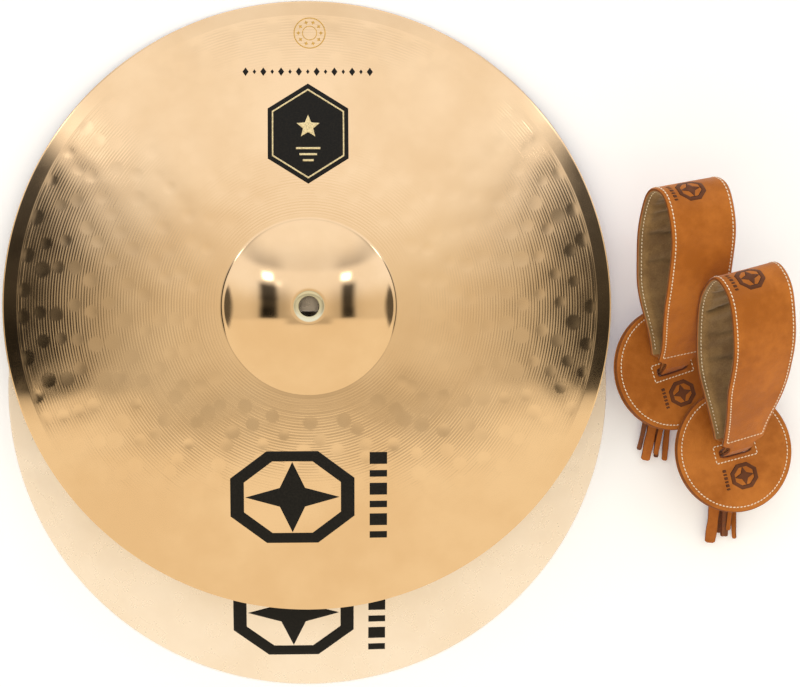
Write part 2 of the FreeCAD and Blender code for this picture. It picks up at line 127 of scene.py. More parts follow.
# the strap
PAD_RADIUS = 47 * MM
FACE_LEATHER = 2.4 * MM
SLOT_LONG = 26 * MM
SLOT_SHORT = 6.4 * MM
PAD_STITCH = 3.8 * MM
SLOT_STITCH = (34 * MM, 13 * MM)
PAD_STACK = 6.2 * MM
LEATHER = 2.4 * MM
LEATHER_ROUNDING = 0.75 * MM
PADDING = 3.5 * MM
LINING = 1.0 * MM
LOOP_LENGTH = 154.3 * MM
LOOP_DEPTH = 50.6 * MM
LOOP_TAPER = 1.32
LOOP_THROAT = 2.9 * MM
LOOP_START = 5 * MM
NECK = 21 * MM
GRIP_START = 14 * MM
GRIP_START_WIDTH = 37 * MM
GRIP_WIDTH = 53.2 * MM
GRIP_TAPER = 62 * MM
GRIP_STITCH = 2.8 * MM
STITCH_PITCH = 2.9 * MM
STITCH_LENGTH = 2.3 * MM
STITCH_WIDE = 0.95 * MM
STITCH_PROUD = 0.42 * MM
STITCH_BATCH = 20
THONG_THICK = 2.2 * MM
THONG_GAP = 0.5 * MM
THONG_LAYER = 3.6 * MM

# how each strap lies: angles in degrees, lengths in millimetres
STRAPS = {
    "left": {"heading": 26.0, "lean": 19.5, "slot": 15.5, "turn": 0.8, "rise": 22.6, "roll": 20.4,
             "thong_heading": -12.0, "thong_reach": 74.0, "thong_top": 11.0},
    "right": {"heading": 42.0, "lean": 15.0, "slot": 12.5, "turn": 3.2, "rise": 23.0, "roll": 21.3,
              "thong_heading": -5.0, "thong_reach": 76.0, "thong_top": 17.0},
}


# ---------------------------------------------------------------- small helpers
def colour(code):
    """An sRGB hex colour as the linear colour a shader socket takes."""
    parts = [int(code[i:i + 2], 16) / 255 for i in (1, 3, 5)]
    return [c / 12.92 if c <= 0.04045 else ((c + 0.055) / 1.055) ** 2.4 for c in parts] + [1.0]


def ease(low, high, value):
    """0 below low, 1 above high, smooth between."""
    share = min(max((value - low) / (high - low), 0.0), 1.0)
    return share * share * (3 - 2 * share)


def make_object(name, mesh, body, material):
    piece = bpy.data.objects.new(name, mesh)
    bpy.context.scene.collection.objects.link(piece)
    mesh.materials.append(material)
    if body:
        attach(piece, body)
    return piece


def finished(bm, name, matrix=Matrix.Identity(4), sharp=40):
    """A mesh from a bmesh: merged, faces outwards, smooth but for its sharp edges, and in place."""
    bmesh.ops.remove_doubles(bm, verts=bm.verts, dist=MERGE)
    bmesh.ops.recalc_face_normals(bm, faces=bm.faces)
    mesh = bpy.data.meshes.new(name)
    bm.to_mesh(mesh)
    bm.free()
    mesh.transform(matrix)
    mesh.shade_smooth()
    mesh.set_sharp_from_angle(angle=math.radians(sharp))
    return mesh


def coordinates(mesh):
    values = np.empty(len(mesh.vertices) * 3)
    mesh.vertices.foreach_get("co", values)
    return values.reshape(-1, 3)


def set_attribute(mesh, name, values):
    layer = mesh.attributes.new(name, "FLOAT", "POINT")
    layer.data.foreach_set("value", np.asarray(values, dtype=np.float32))


# ---------------------------------------------------------------- material helpers
TIMES = {"operation": "MULTIPLY"}
PLUS = {"operation": "ADD"}
SMOOTH = {"interpolation_type": "SMOOTHSTEP"}
BLEND = {"data_type": "RGBA"}


def node_adder(tree):
    """The function that adds nodes to an emptied tree."""
    tree.nodes.clear()

    def add(kind, *values, output=None, **settings):
        """One node. Values go to its inputs in order, settings to its properties or else to its inputs by
        name, and each may be another node's output. Gives the output of that name, or else the first."""
        node = tree.nodes.new("ShaderNode" + kind)
        named = []
        for key, value in settings.items():
            if hasattr(node, key):
                setattr(node, key, value)
            else:
                named.append((node.inputs[key.replace("_", " ")], value))
        open_inputs = [socket for socket in node.inputs if socket.enabled]
        for socket, value in [*zip(open_inputs, values), *named]:
            if isinstance(value, bpy.types.NodeSocket):
                tree.links.new(value, socket)
            else:
                socket.default_value = value
        if output:
            return node.outputs[output]
        return next((socket for socket in node.outputs if socket.enabled), None)

    return add


def new_material(name):
    material = bpy.data.materials.new(name)
    material.use_nodes = True
    return material, node_adder(material.node_tree)


def across(size):
    """The scale of a pattern whose marks are that many millimetres across."""
    return 1 / (size * MM)


# ---------------------------------------------------------------- materials
def bell_bronze(name, light, deep, roughness, groove, metallic):
    """Cast B20 bell bronze, rolled, hammered, lathed and buffed. The lathe leaves fine round grooves on
    the bow, 2 mm apart here so that they show. Bell, rim band and hammer dents are polished smooth. The
    hollow side is duller from the lathe, and its colour is painted darker as painted shade, so that it
    throws less light back into the shadow under the upper cymbal's edge. A groove of 0 leaves the grooves
    out."""
    material, add = new_material(name)
    spot = add("TexCoord", output="Object")
    reach = add("Attribute", output="Fac", attribute_name="reach")
    lathe = add("Attribute", output="Fac", attribute_name="lathe")
    under = add("Attribute", output="Fac", attribute_name="under")
    chatter = add("TexNoise", add("Math", reach, across(2.381), **TIMES), 1.0, 2.0, noise_dimensions="1D")
    turns = add("Math", reach, 2 * math.pi / GROOVE_PITCH, **TIMES)
    wave = add("Math", add("Math", turns, add("Math", chatter, 2.2, **TIMES), **PLUS), operation="SINE")
    depth = add("Math", lathe, add("MapRange", chatter, 0.2, 0.75, 0.55, 1.0, **SMOOTH), **TIMES)
    height = add("Math", wave, depth, **TIMES)
    haze = add("TexNoise", spot, across(71.43), 4.0, 0.55)
    base = add("Mix", add("MapRange", haze, 0.3, 0.7, **SMOOTH), colour(deep), colour(light), **BLEND)
    dish = add("MapRange", reach, DISH - 0.2 * MM, DISH + 0.3 * MM, 1.0, 0.0, **SMOOTH)
    base = add("Mix", dish, base, colour("#c9c2a8"), **BLEND)
    # painted shade: the hollow side's colour is darkened so that it throws less light back into the shadow
    # under the upper cymbal's edge
    base = add("Mix", add("Math", under, 0.75, **TIMES), base, colour("#7c5c38"), **BLEND)
    buffing = add("TexNoise", spot, across(16.67), 4.0, 0.55)
    worn = add("MapRange", buffing, 0.25, 0.75, roughness * 0.8, roughness * 1.25, **SMOOTH)
    worn = add("Math", worn, add("Math", lathe, 0.035, **TIMES), **PLUS)
    worn = add("Math", worn, add("Math", under, 0.25, **TIMES), **PLUS)
    grooves = {"Normal": add("Bump", 1.0, groove, Height=height)} if groove else {}
    add("OutputMaterial", add("BsdfPrincipled", base, metallic, worn, **grooves))
    return material


def printing_ink(name, shade, roughness):
    """Screen-printed enamel ink: thin, even and slightly glossy, with a faint speckle of the mesh."""
    material, add = new_material(name)
    speckle = add("TexNoise", add("TexCoord", output="Object"), across(1.111), 2.0, 0.55)
    share = add("MapRange", speckle, 0.35, 0.7, 0.0, 0.35, **SMOOTH)
    base = add("Mix", share, colour(shade), colour("#2a2620"), **BLEND)
    rough = add("MapRange", speckle, 0.3, 0.7, roughness, roughness + 0.12, **SMOOTH)
    relief = add("Bump", 1.0, 0.004 * MM, Height=speckle)
    add("OutputMaterial", add("BsdfPrincipled", base, Roughness=rough, Normal=relief,
                              IOR=1.5, Specular_IOR_Level=0.16))
    return material


def tanned_leather(name, light, deep, edge, flesh, roughness=0.42):
    """Vegetable-tanned bridle leather, waxed: fine pebbled grain with pores, cloudy dye, burnished darker
    edges, and a paler rough flesh side."""
    material, add = new_material(name)
    spot = add("TexCoord", output="Object")
    side = add("Attribute", output="Fac", attribute_name="edge")
    inside = add("Attribute", output="Fac", attribute_name="flesh")
    cloud = add("TexNoise", spot, across(45.45), 5.0, 0.6)
    mottle = add("TexNoise", spot, across(7.692), 4.0, 0.6)
    pebbles = add("TexVoronoi", spot, across(0.8), feature="SMOOTH_F1")
    pores = add("MapRange", add("TexNoise", spot, across(0.3846), 2.0, 0.55), 0.60, 0.72, **SMOOTH)
    fibre = add("TexNoise", spot, across(2.381), 5.0, 0.7)
    swells = add("TexNoise", spot, across(6.25), 3.0, 0.55)
    tone = add("Math", add("Math", cloud, 0.72, **TIMES), add("Math", mottle, 0.28, **TIMES), **PLUS)
    grain = add("Mix", add("MapRange", tone, 0.36, 0.66, **SMOOTH), colour(deep), colour(light), **BLEND)
    grain = add("Mix", add("Math", pores, 0.22, **TIMES), grain, colour(edge), **BLEND)
    cut = add("MapRange", fibre, 0.3, 0.7, 0.0, 0.55, **SMOOTH)
    body = add("Mix", inside, grain, add("Mix", cut, colour(flesh), colour(deep), **BLEND), **BLEND)
    worn = add("Math", side, add("Math", mottle, 0.35, **TIMES), **PLUS)
    base = add("Mix", add("MapRange", worn, 0.72, 1.05, **SMOOTH), body, colour(edge), **BLEND)
    relief = add("Math", add("Math", pebbles, 1.4, **TIMES), add("Math", pores, -0.8, **TIMES), **PLUS)
    for pattern, share in ((fibre, add("Math", inside, 2.0, **TIMES)), (swells, 1.6)):
        relief = add("Math", relief, add("Math", pattern, share, **TIMES), **PLUS)
    rough = add("MapRange", mottle, 0.3, 0.7, roughness - 0.06, roughness + 0.10, **SMOOTH)
    rough = add("Math", rough, add("Math", inside, 0.3, **TIMES), **PLUS)
    grain_bump = add("Bump", 1.0, 0.09 * MM, Height=relief)
    add("OutputMaterial", add("BsdfPrincipled", base, Roughness=rough, Normal=grain_bump, IOR=1.46,
                              Specular_IOR_Level=0.16, Coat_Weight=0.03, Coat_Roughness=0.35))
    return material


def napped_suede(name, light, deep):
    """Split-hide suede: short brushed nap that lies in patches, dull, with a soft sheen at its edge, and
    painted shade darkening it in the creases that the fold layer marks.
    """
    material, add = new_material(name)
    spot = add("TexCoord", output="Object")
    fold = add("Attribute", output="Fac", attribute_name="fold")
    stroke = add("TexNoise", spot, across(20.83), 5.0, 0.65)
    nap = add("TexNoise", spot, across(1.111), 3.0, 0.7)
    tone = add("Math", add("Math", stroke, 0.7, **TIMES), add("Math", nap, 0.3, **TIMES), **PLUS)
    base = add("Mix", add("MapRange", tone, 0.36, 0.64, **SMOOTH), colour(deep), colour(light), **BLEND)
    # painted shade: darker where the lining's creases press in
    shade = add("Math", fold, 0.75, use_clamp=True, **TIMES)
    base = add("Mix", shade, base, colour("#3a2f1c"), **BLEND)
    relief = add("Bump", 1.0, 0.35 * MM, Height=tone)
    add("OutputMaterial", add("BsdfPrincipled", base, Roughness=0.92, Normal=relief, IOR=1.4,
                              Specular_IOR_Level=0.2, Sheen_Weight=0.35, Sheen_Roughness=0.5))
    return material


def waxed_thread(name, light, deep):
    """Twisted waxed linen thread: pale, with a spiral of shadow between its plies."""
    material, add = new_material(name)
    ply = add("TexWave", add("TexCoord", output="Object"), across(1.613), 2.0, output="Fac",
              wave_type="BANDS", bands_direction="DIAGONAL")
    base = add("Mix", add("MapRange", ply, 0.15, 0.7, **SMOOTH), colour(deep), colour(light), **BLEND)
    relief = add("Bump", 1.0, 0.08 * MM, Height=ply)
    add("OutputMaterial", add("BsdfPrincipled", base, Roughness=0.6, Normal=relief, IOR=1.5,
                              Specular_IOR_Level=0.35))
    return material


def pressed_felt(name, light, deep):
    """Pressed wool felt: matted fibres, quite dull."""
    material, add = new_material(name)
    fibres = add("TexNoise", add("TexCoord", output="Object"), across(1.429), 5.0, 0.75)
    base = add("Mix", add("MapRange", fibres, 0.3, 0.7, **SMOOTH), colour(deep), colour(light), **BLEND)
    relief = add("Bump", 1.0, 0.4 * MM, Height=fibres)
    add("OutputMaterial", add("BsdfPrincipled", base, Roughness=0.95, Normal=relief,
                              Specular_IOR_Level=0.15, Sheen_Weight=0.25))
    return material


def painted_board(name):
    """Matt white painted board under the set, lit from behind a little so that its shade stays pale."""
    material, add = new_material(name)
    clouds = add("TexNoise", add("TexCoord", output="Object"), across(333.3), 2.0, 0.55)
    base = add("Mix", clouds, colour("#fbfbfa"), colour("#fdfdfd"), **BLEND)
    add("OutputMaterial", add("BsdfPrincipled", base, Roughness=0.85, Specular_IOR_Level=0.1,
                              Emission_Color=colour("#7c84a0"), Emission_Strength=0.35))
    return material


BRONZE = bell_bronze("brilliant_bell_bronze", "#dbbd98", "#d3b38c", 0.085, 0.014 * MM, 1.0)
# the lower cymbal's bronze: the same alloy as the upper one, painted paler as painted light that stands in
# for the stronger light on it; it is also rougher and half diffuse
PAINTED_PALE_BRONZE = bell_bronze("satin_bell_bronze_painted_pale", "#eddfd0", "#e8d8c6", 0.27, 0.0, 0.5)
INK = printing_ink("black_printing_ink", "#0d0b09", 0.42)
GOLD_INK = printing_ink("cream_printing_ink", "#ead7a8", 0.45)
ETCH = printing_ink("etched_bronze", "#d9ab55", 0.5)
LEATHER_TAN = tanned_leather("waxed_bridle_leather", "#bb6f29", "#a05a19", "#74401c", "#a87348")
LEATHER_PAD = tanned_leather("waxed_pad_leather", "#bc722e", "#9c581c", "#7a431c", "#8a5630")
THONG_LEATHER = tanned_leather("slit_thong_leather", "#bb6f2d", "#9c561e", "#5e2f16", "#6f4b3a")
PRESSED_LEATHER = tanned_leather("heat_pressed_leather", "#6d4128", "#573019", "#3a1c0c", "#54290f", 0.5)
# painted shadow: the dark film that shows along one edge of each pressed mark
PAINTED_SHADOW_LEATHER = tanned_leather("painted_shadow_leather_edge", "#3c1d0d", "#2a1308", "#2a1308", "#2a1308", 0.5)
SUEDE = napped_suede("olive_suede", "#987a50", "#795d3b")
THREAD = waxed_thread("waxed_linen_thread", "#fbf3e2", "#d3c09d")
FELT = pressed_felt("pressed_wool_felt", "#5b4a38", "#3c2f23")
BOARD = painted_board("white_board")


# ---------------------------------------------------------------- cymbals
def outer_height(reach):
    """Height of the cymbal's upper skin at a distance from its axis."""
    bow = BOW_CENTRE + math.sqrt((BOW + WALL) ** 2 - reach ** 2)
    if reach > BELL_RADIUS + 8 * MM:
        return bow
    bell = BELL_CENTRE + math.sqrt((BELL + WALL) ** 2 - reach ** 2)
    over = max(FOOT_BLEND - abs(bell - bow), 0.0)
    return max(bell, bow) + over * over / (4 * FOOT_BLEND)


def skin_stations():
    """Distances from the axis where the upper skin gets a ring of points, from the bore to the rim."""
    stations = [DISH]
    for end, count in ((FOOT_FROM, BELL_RINGS), (LATHE_FROM, FOOT_RINGS), (LATHE_TO, LATHE_RINGS)):
        start = stations[-1]
        stations += [start + (end - start) * step / count for step in range(1, count + 1)]
    stations += [LATHE_TO + 0.3 * MM, LATHE_TO + 0.8 * MM, 221 * MM, 224 * MM, 227.4 * MM, RIM - 0.5 * MM]
    return stations


def profile_points():
    """The cymbal's section: bore, dish, bell, bow, plain rim band, rim, and back along the hollow side."""
    dish_floor = outer_height(DISH) - DISH_DEPTH
    points = [(BORE, dish_floor - WALL), (BORE, dish_floor - 0.25 * MM), (BORE + 0.25 * MM, dish_floor),
              (BORE + 1.6 * MM, dish_floor + 0.12 * MM), (DISH - 0.7 * MM, outer_height(DISH) - 0.22 * MM)]
    for reach in skin_stations():
        lift = LATHE_STEP if reach > LATHE_TO else 0.0
        points.append((reach, outer_height(reach) + lift - LATHE_STEP * (reach > LATHE_FROM)))
    rim_top = points[-1][1]
    points += [(RIM, rim_top - 0.5 * MM), (RIM, 0.35 * MM), (RIM - 0.3 * MM, 0.0), (SEAT, 0.0)]
    for step in range(1, HOLLOW_BOW_RINGS + 1):
        reach = SEAT + (BELL_RADIUS - SEAT) * step / HOLLOW_BOW_RINGS
        points.append((reach, outer_height(reach) - WALL))
    for step in range(1, HOLLOW_BELL_RINGS + 1):
        reach = BELL_RADIUS + (DISH - BELL_RADIUS) * step / HOLLOW_BELL_RINGS
        points.append((reach, BELL_CENTRE + math.sqrt(BELL ** 2 - reach ** 2)))
    return points


def hammer_marks(seed):
    """Rings of round hammer dents: place, radius and depth of each."""
    rng = random.Random(seed)
    marks = []
    for ring in range(HAMMER_RINGS):
        reach = HAMMER_FIRST + ring * HAMMER_GAP * (0.86 if ring < 4 else 1.0) + (ring < 4) * 3 * MM
        count = round(2 * math.pi * reach / HAMMER_SPACING)
        start = rng.random() * 2 * math.pi
        for number in range(count):
            angle = start + 2 * math.pi * (number + rng.uniform(-0.16, 0.16)) / count
            out = reach + rng.uniform(-1.8, 1.8) * MM
            if not LATHE_FROM + 8 * MM < out < LATHE_TO - 3 * MM:
                continue
            marks.append((out * math.cos(angle), out * math.sin(angle),
                          rng.uniform(*DENT_RADIUS), rng.uniform(*DENT_DEPTH)))
    return marks


def hammer(mesh, seed, force):
    """Press the dents into the upper skin, with the wide shallow swell that each blow leaves, and mark
    where the material is lathed and where it is the hollow side."""
    co = coordinates(mesh)
    reach = np.hypot(co[:, 0], co[:, 1])
    nominal = BOW_CENTRE + np.sqrt((BOW + WALL) ** 2 - reach ** 2) - LATHE_STEP
    lathed = (reach > LATHE_FROM) & (reach < LATHE_TO + 0.01 * MM)
    top = np.flatnonzero(lathed & (np.abs(co[:, 2] - nominal) < WALL / 2))
    drop = np.zeros(len(top))
    smooth = np.zeros(len(top))
    for x, y, radius, depth in hammer_marks(seed):
        away = np.hypot(co[top, 0] - x, co[top, 1] - y)
        near = away < 5 * radius
        share = np.clip(1 - (away[near] / radius) ** 2, 0, 1)
        swell = SWELL * np.exp(-(away[near] / (2.1 * radius)) ** 2)
        drop[near] += force * depth * share ** 0.85 + swell
        smooth[near] = np.maximum(smooth[near], np.clip((1.12 - away[near] / radius) * 6, 0, 1))
    fade = np.clip((LATHE_TO - reach[top]) / (4 * MM), 0, 1)
    fade *= np.clip((reach[top] - LATHE_FROM) / (6 * MM), 0, 1)
    co[top, 2] -= drop * fade
    lathe = np.zeros(len(co))
    lathe[top] = (1 - smooth) * np.clip((LATHE_TO - reach[top]) / (0.8 * MM), 0, 1)
    mesh.vertices.foreach_set("co", co.ravel())
    set_attribute(mesh, "reach", reach)
    set_attribute(mesh, "lathe", lathe)
    mesh.update()
    facing = np.empty(len(co) * 3)
    mesh.vertex_normals.foreach_get("vector", facing)
    set_attribute(mesh, "under", facing.reshape(-1, 3)[:, 2] < -0.3)


def build_cymbal(name, place, material, seed, force):
    """One cymbal, spun from its section, its outer bow split finer for the dents. Gives its surface."""
    bm = bmesh.new()
    points = [bm.verts.new((reach, 0, height)) for reach, height in profile_points()]
    edges = [bm.edges.new(pair) for pair in zip(points, points[1:])]
    edges.append(bm.edges.new((points[-1], points[0])))
    bmesh.ops.spin(bm, geom=points + edges, cent=(0, 0, 0), axis=(0, 0, 1), dvec=(0, 0, 0),
                   angle=2 * math.pi, steps=STEPS, use_merge=True, use_duplicate=False)
    middle = BOW_CENTRE + BOW

    def wants_split(edge):
        one, two = edge.verts
        reach = math.hypot(one.co.x, one.co.y)
        level = abs(one.co.z - two.co.z) < MERGE and abs(reach - math.hypot(two.co.x, two.co.y)) < MERGE
        upper = one.co.z > outer_height(min(reach, RIM)) - WALL / 2 or reach > SEAT
        return level and reach > FINE_FROM and upper and one.co.z < middle

    split = [edge for edge in bm.edges if wants_split(edge)]
    cut = bmesh.ops.subdivide_edges(bm, edges=split, cuts=1, use_grid_fill=True)
    between = 1 / math.cos(math.pi / STEPS)
    for item in cut["geom_inner"]:
        if isinstance(item, bmesh.types.BMVert):
            item.co.x *= between
            item.co.y *= between
    mesh = finished(bm, name, sharp=32)
    hammer(mesh, seed, force)
    corners = [vert.co.copy() for vert in mesh.vertices]
    skin = BVHTree.FromPolygons(corners, [face.vertices[:] for face in mesh.polygons])
    mesh.transform(place)
    piece = make_object(name + "_bronze", mesh, name, material)
    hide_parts(name)
    return skin


def cymbal_place(mount):
    """From a cymbal's own frame to the set, from its bore's place and axis."""
    axis = Vector(MOUNTS[mount]["axis"])
    if axis.z < 0:
        axis.negate()
    turn = Vector((0, 0, 1)).rotation_difference(axis).to_matrix().to_4x4()
    return Matrix.Translation(Vector(MOUNTS[mount]["pos_m"]) - axis * BORE_HEIGHT) @ turn


# ---------------------------------------------------------------- printed marks
def outline(bm, count, radius_at, centre, turn=0.0, stretch=(1.0, 1.0)):
    """A closed ring of points whose radius follows a formula of the point's number."""
    ring = bmesh.ops.create_circle(bm, segments=count, radius=1.0, cap_ends=False)["verts"]
    for number, vert in enumerate(ring):
        angle = turn + 2 * math.pi * number / count
        radius = radius_at(number)
        vert.co = (centre[0] + stretch[0] * radius * math.cos(angle),
                   centre[1] + stretch[1] * radius * math.sin(angle), 0)
    return ring


def loop_edges(ring):
    chosen = set(ring)
    return list({edge for vert in ring for edge in vert.link_edges if set(edge.verts) <= chosen})


def band(bm, count, outer, inner, centre, turn=0.0, stretch=(1.0, 1.0)):
    """A flat ring between two even polygons."""
    edges = []
    for size in (outer, inner):
        edges += loop_edges(outline(bm, count, lambda number: size, centre, turn, stretch))
    bmesh.ops.bridge_loops(bm, edges=edges)


def star(bm, points, outer, inner, centre, turn=math.pi / 2, stretch=(1.0, 1.0)):
    ring = outline(bm, 2 * points, lambda number: (outer, inner)[number % 2], centre, turn, stretch)
    middle = bm.verts.new((centre[0], centre[1], 0))
    for edge in loop_edges(ring):
        bm.faces.new((*edge.verts, middle))


def plate(bm, count, size, centre, turn=0.0, stretch=(1.0, 1.0)):
    """A filled even polygon."""
    bm.faces.new(outline(bm, count, lambda number: size, centre, turn, stretch))


def block(bm, wide, high, centre):
    place = Matrix.Translation((*centre, 0)) @ Matrix.Diagonal((wide, high, 1, 1))
    bmesh.ops.create_grid(bm, x_segments=1, y_segments=1, size=0.5, matrix=place)


def lay_film(name, bm, surface, place, body, material, step=2.5 * MM, proud=0.05 * MM):
    """Slice a flat mark finely, bend it onto a surface and give it the thickness of a film.
    surface(x, y, proud) is the point that far off the surface there."""
    low = [min(v.co[i] for v in bm.verts) for i in (0, 1)]
    high = [max(v.co[i] for v in bm.verts) for i in (0, 1)]
    for axis in (0, 1):
        normal = (1, 0, 0) if axis == 0 else (0, 1, 0)
        for number in range(1, int((high[axis] - low[axis]) / step) + 1):
            at = [0, 0, 0]
            at[axis] = low[axis] + number * step
            geom = bm.verts[:] + bm.edges[:] + bm.faces[:]
            bmesh.ops.bisect_plane(bm, geom=geom, plane_co=at, plane_no=normal)
    bmesh.ops.recalc_face_normals(bm, faces=bm.faces)
    for face in bm.faces:
        face.normal_update()
        if face.normal.z < 0:
            face.normal_flip()
    for vert in bm.verts:
        vert.co = surface(vert.co.x, vert.co.y, proud)
    for face in bm.faces:
        face.normal_update()
    bmesh.ops.solidify(bm, geom=bm.faces[:], thickness=proud * 0.9)
    mesh = bpy.data.meshes.new(name)
    bm.to_mesh(mesh)
    bm.free()
    mesh.transform(place)
    mesh.shade_smooth()
    return make_object(name, mesh, body, material)


def emblem(bm):
    """The large mark below the bell: a stout eight-sided ring round a star, and a column of bars."""
    centre = (-13 * MM, -142 * MM)
    band(bm, 8, 50 * MM, 39 * MM, centre, math.pi / 8, (1.0, 0.75))
    star(bm, 4, 37 * MM, 14 * MM, centre, math.pi / 2, (0.95, 0.72))
    for number in range(6):
        high = (9, 5)[number % 2] * MM
        block(bm, 13 * MM, high, (51 * MM, (-113 - 11.6 * number) * MM))


BADGE_SHAPE = ((0, 128 * MM), math.pi / 2, (0.92, 1.0))


def badge(bm):
    """The hexagonal badge above the bell."""
    plate(bm, 6, 37.5 * MM, *BADGE_SHAPE)


def badge_lines(bm):
    """The pale line round the badge, with a small star and three lines inside."""
    band(bm, 6, 33.6 * MM, 32.3 * MM, *BADGE_SHAPE)
    star(bm, 5, 9 * MM, 4 * MM, (0, 133 * MM))
    for number in range(3):
        block(bm, (18 - 5 * number) * MM, 1.5 * MM, (0, (117 - 4.5 * number) * MM))


def dot_row(bm):
    """A row of small lozenges above the badge."""
    for number in range(15):
        place = ((number - 7) * 6.6 * MM, 174.5 * MM)
        wide = (2.6, 1.5)[number % 2] * MM
        star(bm, 2, wide * 1.25, wide * 0.88, place, math.pi / 2)


def rosette(bm):
    """The small etched mark near the rim."""
    centre = (1.5 * MM, 204 * MM)
    band(bm, 32, 12.0 * MM, 11.2 * MM, centre)
    band(bm, 32, 5.6 * MM, 5.0 * MM, centre)
    for number in range(10):
        angle = 2 * math.pi * number / 10
        at = (centre[0] + 8.4 * MM * math.cos(angle), centre[1] + 8.4 * MM * math.sin(angle))
        star(bm, 4, 1.7 * MM, 0.8 * MM, at, angle)


# each mark's name, drawing, ink, and how many millimetres it stands proud
MARKS = (("emblem", emblem, INK, 0.05), ("badge", badge, INK, 0.05),
         ("badge_lines", badge_lines, GOLD_INK, 0.10), ("lozenge_row", dot_row, INK, 0.05),
         ("rosette", rosette, ETCH, 0.03))
ABOVE = 200 * MM


def print_marks(name, place, skin, outward):
    """The printed marks. The emblem stands further out on the cymbal that carries it near its rim."""
    def surface(x, y, proud):
        hit = skin.ray_cast(Vector((x, y, ABOVE)), Vector((0, 0, -1)))[0]
        return hit + Vector((0, 0, proud))

    for label, draw, ink, proud in MARKS:
        bm = bmesh.new()
        draw(bm)
        if label == "emblem":
            bmesh.ops.translate(bm, verts=bm.verts, vec=(0, -outward, 0))
        lay_film(name + "_" + label, bm, surface, place, name, ink, proud=proud * MM)


# each cymbal's bore mount, finish, seed of its dents, how hard it was hammered, and how much further out
# its emblem stands
CYMBALS = {"upper_cymbal": ("upper_bell_hole", BRONZE, 7, 1.0, 0.0),
           "lower_cymbal": ("lower_bell_hole", PAINTED_PALE_BRONZE, 19, 2.6, 27 * MM)}
for cymbal, (mount, bronze, seed, force, outward) in CYMBALS.items():
    cymbal_at = cymbal_place(mount)
    cymbal_skin = build_cymbal(cymbal, cymbal_at, bronze, seed, force)
    print_marks(cymbal, cymbal_at, cymbal_skin, outward)


# ---------------------------------------------------------------- strap frames
def turned(axis, degrees):
    return Matrix.Rotation(math.radians(degrees), 4, Vector(axis))


def pad_frame(strap):
    """Pad's own frame: origin in the middle of its upper face, X along the slot, Z off the face."""
    lay = STRAPS[strap]
    heading = math.radians(lay["heading"])
    turn = turned((-math.sin(heading), math.cos(heading), 0), lay["lean"]) @ turned((0, 0, 1), lay["slot"])
    low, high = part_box(strap + "_pad_face")
    middle = (low + high) / 2
    top = middle + turn.to_3x3() @ Vector((0, 0, FACE_LEATHER / 2))
    return Matrix.Translation(top) @ turn


def grip_frame(strap):
    """Loop's own frame: origin in the slot, X across, Y along the loop, Z off its upper run."""
    lay = STRAPS[strap]
    turn = turned((0, 0, 1), lay["turn"]) @ turned((1, 0, 0), lay["rise"]) @ turned((0, 1, 0), lay["roll"])
    return Matrix.Translation(JOINTS[strap + "_grip_fold"]["pos_m"]) @ turn


# ---------------------------------------------------------------- lofted strips
def rolled(stations, around, point_at, layers):
    """A grid rolled up into a tube, with a ring of points at every station.
    point_at(station, number) gives a point and its layer values."""
    bm = bmesh.new()
    bmesh.ops.create_grid(bm, x_segments=around, y_segments=stations - 1, size=0.5)
    keys = [bm.verts.layers.float.new(layer) for layer in layers]
    for vert in bm.verts:
        number = round((vert.co.x + 0.5) * around) % around
        station = round((vert.co.y + 0.5) * (stations - 1))
        vert.co, values = point_at(station, number)
        for key, value in zip(keys, values):
            vert[key] = value
    bmesh.ops.remove_doubles(bm, verts=bm.verts, dist=MERGE)
    return bm


def open_edges(bm):
    return [edge for edge in bm.edges if edge.is_boundary]


def strip(name, stations, around, point_at, body, material, layers, sharp=60):
    """A rolled tube closed at its ends."""
    bm = rolled(stations, around, point_at, layers)
    bmesh.ops.holes_fill(bm, edges=open_edges(bm), sides=0)
    return make_object(name, finished(bm, name, sharp=sharp), body, material)


def flat_section(number, count, half_wide, thick, round_by):
    """Point of a flat strip's section: across, depth below its face, closeness to a side, and inner face.
    The first half runs along the face, the second half back along the inner side."""
    half = count // 2
    side = number < half
    step = number if side else number - half
    share = step / (half - 1)
    across = (2 * share - 1) * (1 if side else -1)
    bent = math.copysign(1 - (1 - abs(across)) ** 1.35, across)
    wide = bent * half_wide
    near = max(abs(wide) - (half_wide - round_by), 0.0) / round_by
    rounding = round_by * (1 - math.sqrt(max(1 - near * near, 0.0)))
    depth = rounding if side else thick - rounding
    return wide, min(max(depth, 0.0), thick), near, 0.0 if side else 1.0


# ---------------------------------------------------------------- the hand loop
def loop_along(angle):
    """Distance from the slot at an angle, which runs from 0 to 2 pi round the loop."""
    return LOOP_LENGTH * (1 - math.cos(angle)) / 2


def angle_at(along):
    """The first angle at which the loop is that far from the slot."""
    return math.acos(1 - 2 * along / LOOP_LENGTH)


def loop_point(angle, offset):
    """Along and off the loop's plane at an angle, that far inside the loop's outer line."""
    half = angle / 2
    peak_cos = math.sqrt(1 / (2 + LOOP_TAPER))
    peak_sin = math.sqrt(1 - peak_cos ** 2)
    swell = (LOOP_DEPTH / 2 - LOOP_THROAT * peak_cos) / (2 * peak_sin * peak_cos * peak_sin ** LOOP_TAPER)
    along = loop_along(angle)
    out = swell * math.sin(angle) * math.sin(half) ** LOOP_TAPER + LOOP_THROAT * math.cos(half)
    along_rate = LOOP_LENGTH * math.sin(angle) / 2
    out_rate = math.cos(angle) * math.sin(half) ** LOOP_TAPER
    out_rate += math.sin(angle) * LOOP_TAPER / 2 * math.sin(half) ** (LOOP_TAPER - 1) * math.cos(half)
    out_rate = swell * out_rate - LOOP_THROAT * math.sin(half) / 2
    rate = math.hypot(along_rate, out_rate)
    return along + offset * out_rate / rate, out - offset * along_rate / rate


def loop_normal(angle):
    """Outward direction at an angle, as along and off parts."""
    outer = loop_point(angle, 0.0)
    inner = loop_point(angle, MM)
    return (outer[0] - inner[0]) / MM, (outer[1] - inner[1]) / MM


